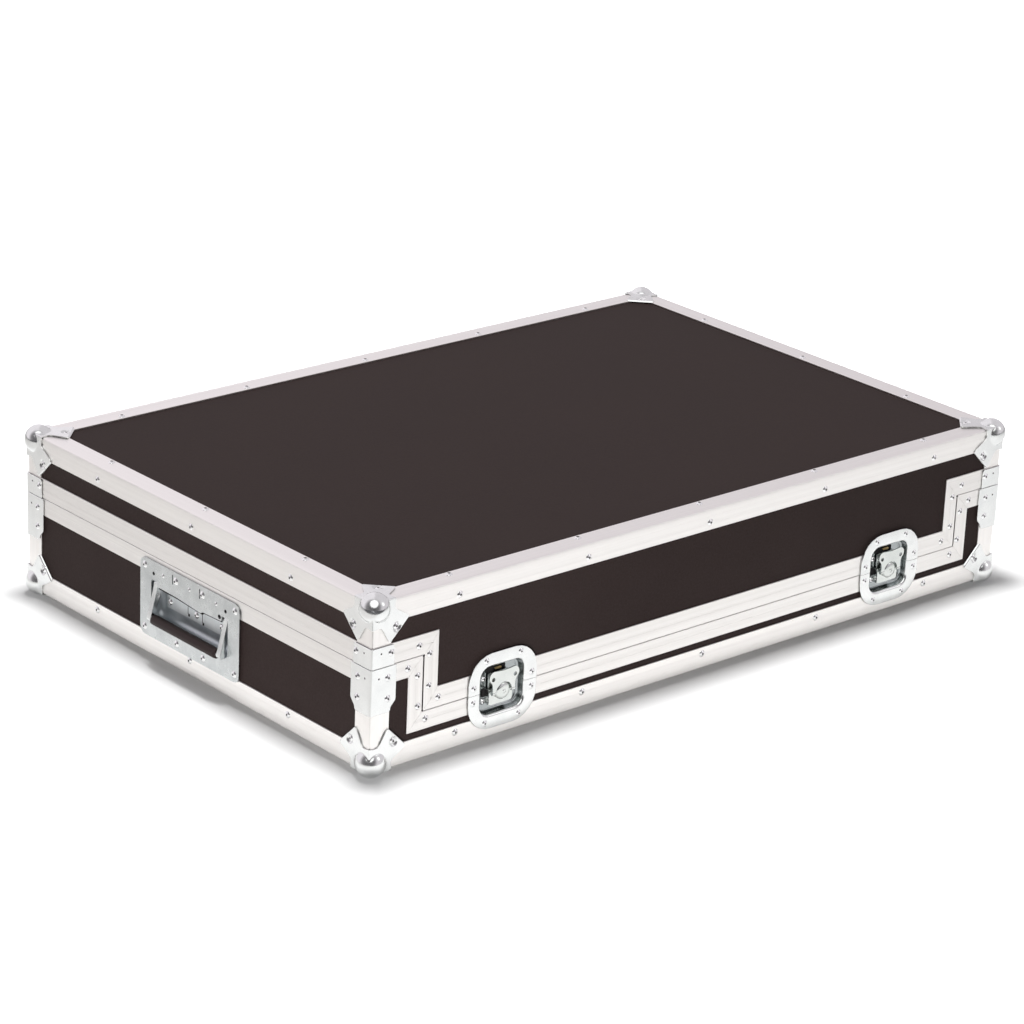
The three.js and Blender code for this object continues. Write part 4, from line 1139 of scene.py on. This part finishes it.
# The spring box's zinc is painted lighter than the tray's: painted light, making up for the shade under the
# flange's lip.
matt_zinc = zinc_finish("matt_zinc", (0.64, 0.68, 0.70), (0.80, 0.83, 0.84), 0.45)
tray_zinc = zinc_finish("tray_zinc", (0.50, 0.54, 0.57), (0.66, 0.70, 0.72), 0.42)
bail_zinc = zinc_finish("bail_zinc", (0.70, 0.72, 0.72), (0.86, 0.875, 0.87), 0.22)
for side in ("left", "right"):
    rolled(shell(
        f"handle_{side}_flange", [seated(plate(flange_rings(), flange_back, lap), side)], dull_zinc, "base",
        replaced=[f"handle_{side}_dish"],
    ), flange_roll, 3)
    upper = dish_surface(tray_rows, 0.0)
    lower = upper[:, ::-1][:, 1:-1] * [1, -1, 1]
    tray = np.concatenate([upper, lower], axis=1) + [0, tray_middle, 0]
    thickened(shell(
        f"handle_{side}_tray", [(on_side(side, tray, 0, handle_foot), dish_faces(tray, around=True))],
        tray_zinc, "base", smooth_angle=dished_angle,
    ), even=False)
    box = seated(block(*spring_box), side)
    rolled(shell(f"handle_{side}_spring_box", [box], matt_zinc, "base"), box_roll, 4)
    # Painted shade: near-black sheets behind the lip and its pin holes, and strips for the box's slots.
    pin_hole_shades = [circle(sx * pin_hole[0], pin_hole[1], pin_hole_shade_radius, 14)[::-1] for sx in (-1, 1)]
    dark = [plate([outline], lip_shade_back, lip_shade_front) for outline in (lip_shade_sheet, *pin_hole_shades)]
    dark += [block(*slit, *slit_heights) for slit in box_slits]
    shell(f"handle_{side}_slits", [seated(part, side) for part in dark], black_rubber, "base")
    axle = laid(lathe(axle_profile, 20), axle_height, axle_depth)
    shell(f"handle_{side}_pivot", [seated(axle, side)], zinc, "base", replaced=[f"handle_{side}_axle"])
    heads = []
    for spots, lift in ((handle_rivets, lap), (box_rivets, box_face)):
        for x, y, radius in spots:
            heads += side_rivets(side, [(x, y + handle_foot)], lift, radius, radius * 0.40)
    shell(f"handle_{side}_rivets", heads, rivet_steel, "base", smooth_angle=domed_angle)

    bail = [laid(plate([strap_outline()], arm_inside, arm_outside), sign=sx) for sx in (-1, 1)]
    bail.append(laid(lathe(rod_profile, 20), -arm_length))
    rolled(shell(
        f"handle_{side}_bail_forging", [seated(hung(part), side) for part in bail], bail_zinc,
        f"handle_{side}", smooth_angle=turned_angle, replaced=[f"handle_{side}_bail"],
    ), bail_roll, 3)
    sleeve = seated(hung(laid(lathe(sleeve_profile, 40), -arm_length)), side)
    shell(
        f"handle_{side}_sleeve", [sleeve], grip_plastic, f"handle_{side}", smooth_angle=turned_angle,
        replaced=[f"handle_{side}_grip"],
    )


# Foam lining: charcoal closed-cell foam glued to the panels: a sheet on the floor and on the
# roof, and walls round both cavities, thicker at the ends, where it fills in beside the handles.
foam_dark, foam_light = (0.022, 0.022, 0.024, 1), (0.056, 0.056, 0.060, 1)
foam_rounding, foam_gap, foam_steps, foam_weld = 0.0022, 0.0001, 13, 0.00005
cell_scale, cell_depth, foam_cloud_scale = 900.0, 0.0004, 14.0
base_x, lid_x, lid_front_x, foam_y = 0.3945, 0.3991, 0.3357, 0.2601
cavity_x, cavity_y = 0.3691, 0.2481
foam_in, foam_thick, lip_gap = 0.0091, 0.010, 0.003
base_low, base_high = underside + foam_in, high_parting - lip_gap
lid_low, lid_high = high_parting + lip_gap, crown - foam_in
base_floor, lid_roof = base_low + foam_thick, lid_high - foam_thick
front_base_high, front_lid_low = low_parting - lip_gap, low_parting + lip_gap
foam_pieces = {
    "base_foam_floor": ("base", (-base_x, -foam_y, base_low), (base_x, foam_y, base_floor)),
    "base_foam_back": ("base", (-base_x, cavity_y, base_floor), (base_x, foam_y, base_high)),
    "base_foam_front": ("base", (-cavity_x, -foam_y, base_floor), (cavity_x, -cavity_y, front_base_high)),
    "base_foam_left": ("base", (-base_x, -foam_y, base_floor), (-cavity_x, cavity_y, base_high)),
    "base_foam_right": ("base", (cavity_x, -foam_y, base_floor), (base_x, cavity_y, base_high)),
    "lid_foam_roof": ("lid", (-lid_x, -foam_y, lid_roof), (lid_x, foam_y, lid_high)),
    "lid_foam_back": ("lid", (-lid_x, cavity_y, lid_low), (lid_x, foam_y, lid_roof)),
    "lid_foam_left": ("lid", (-lid_x, -foam_y, lid_low), (-cavity_x, cavity_y, lid_roof)),
    "lid_foam_right": ("lid", (cavity_x, -foam_y, lid_low), (lid_x, cavity_y, lid_roof)),
    "lid_foam_front": ("lid", (-lid_front_x, -foam_y, front_lid_low), (lid_front_x, -cavity_y, lid_roof)),
}


def foam_paint(start):
    """Closed cells: small dark pits between slightly lighter ribs, and nearly no shine."""
    place = start.node("ShaderNodeTexCoord", output="Object")
    cells = start.node("ShaderNodeTexVoronoi", {"Vector": place, "Scale": cell_scale}, output="Distance")
    tone = cells * 0.8 + (noise(start, place, foam_cloud_scale, 4.0) - 0.5) * 0.5
    return {
        "Base Color": blended(start, tone, foam_dark, foam_light),
        "Roughness": 0.92,
        "Specular IOR Level": 0.15,
        "Normal": bump(start, cells, cell_depth, 0.6),
    }


def foam_block(low, high):
    """A block with rounded edges. Every face is a grid on a cube, whose lines crowd towards the
    edges as a sine does. A point is the nearest one inside the block less its rounding, plus
    the rounding along the way from there to the point's place on the block."""
    low, high = np.array(low) + foam_gap, np.array(high) - foam_gap
    half, middle = (high - low) / 2, (high + low) / 2
    line = np.sin(np.linspace(-np.pi / 2, np.pi / 2, foam_steps))
    a, b = (axis.ravel() for axis in np.meshgrid(line, line, indexing="ij"))
    grid = quads(foam_steps, foam_steps)
    points, faces = [], []
    for axis in range(3):
        for sign in (-1, 1):
            cube = np.empty((len(a), 3))
            cube[:, axis], cube[:, (axis + 1) % 3], cube[:, (axis + 2) % 3] = sign, a, b
            faces.append(grid[:, ::sign] + len(points) * len(a))
            points.append(cube)
    square = np.concatenate(points) * half
    inner = np.clip(square, foam_rounding - half, half - foam_rounding)
    away = square - inner
    away /= np.maximum(np.linalg.norm(away, axis=1, keepdims=True), 1e-9)
    return middle + inner + away * foam_rounding, np.concatenate(faces)


foam = material("charcoal_foam", foam_paint)
for name, (body, low, high) in foam_pieces.items():
    made = shell(
        name, [foam_block(low, high)], foam, body, smooth_angle=domed_angle,
        replaced=[f"{body}_foam_lining"] if name in ("base_foam_floor", "lid_foam_roof") else (),
    )
    joined = made.modifiers.new("joined_edges", "WELD")
    joined.merge_threshold = foam_weld
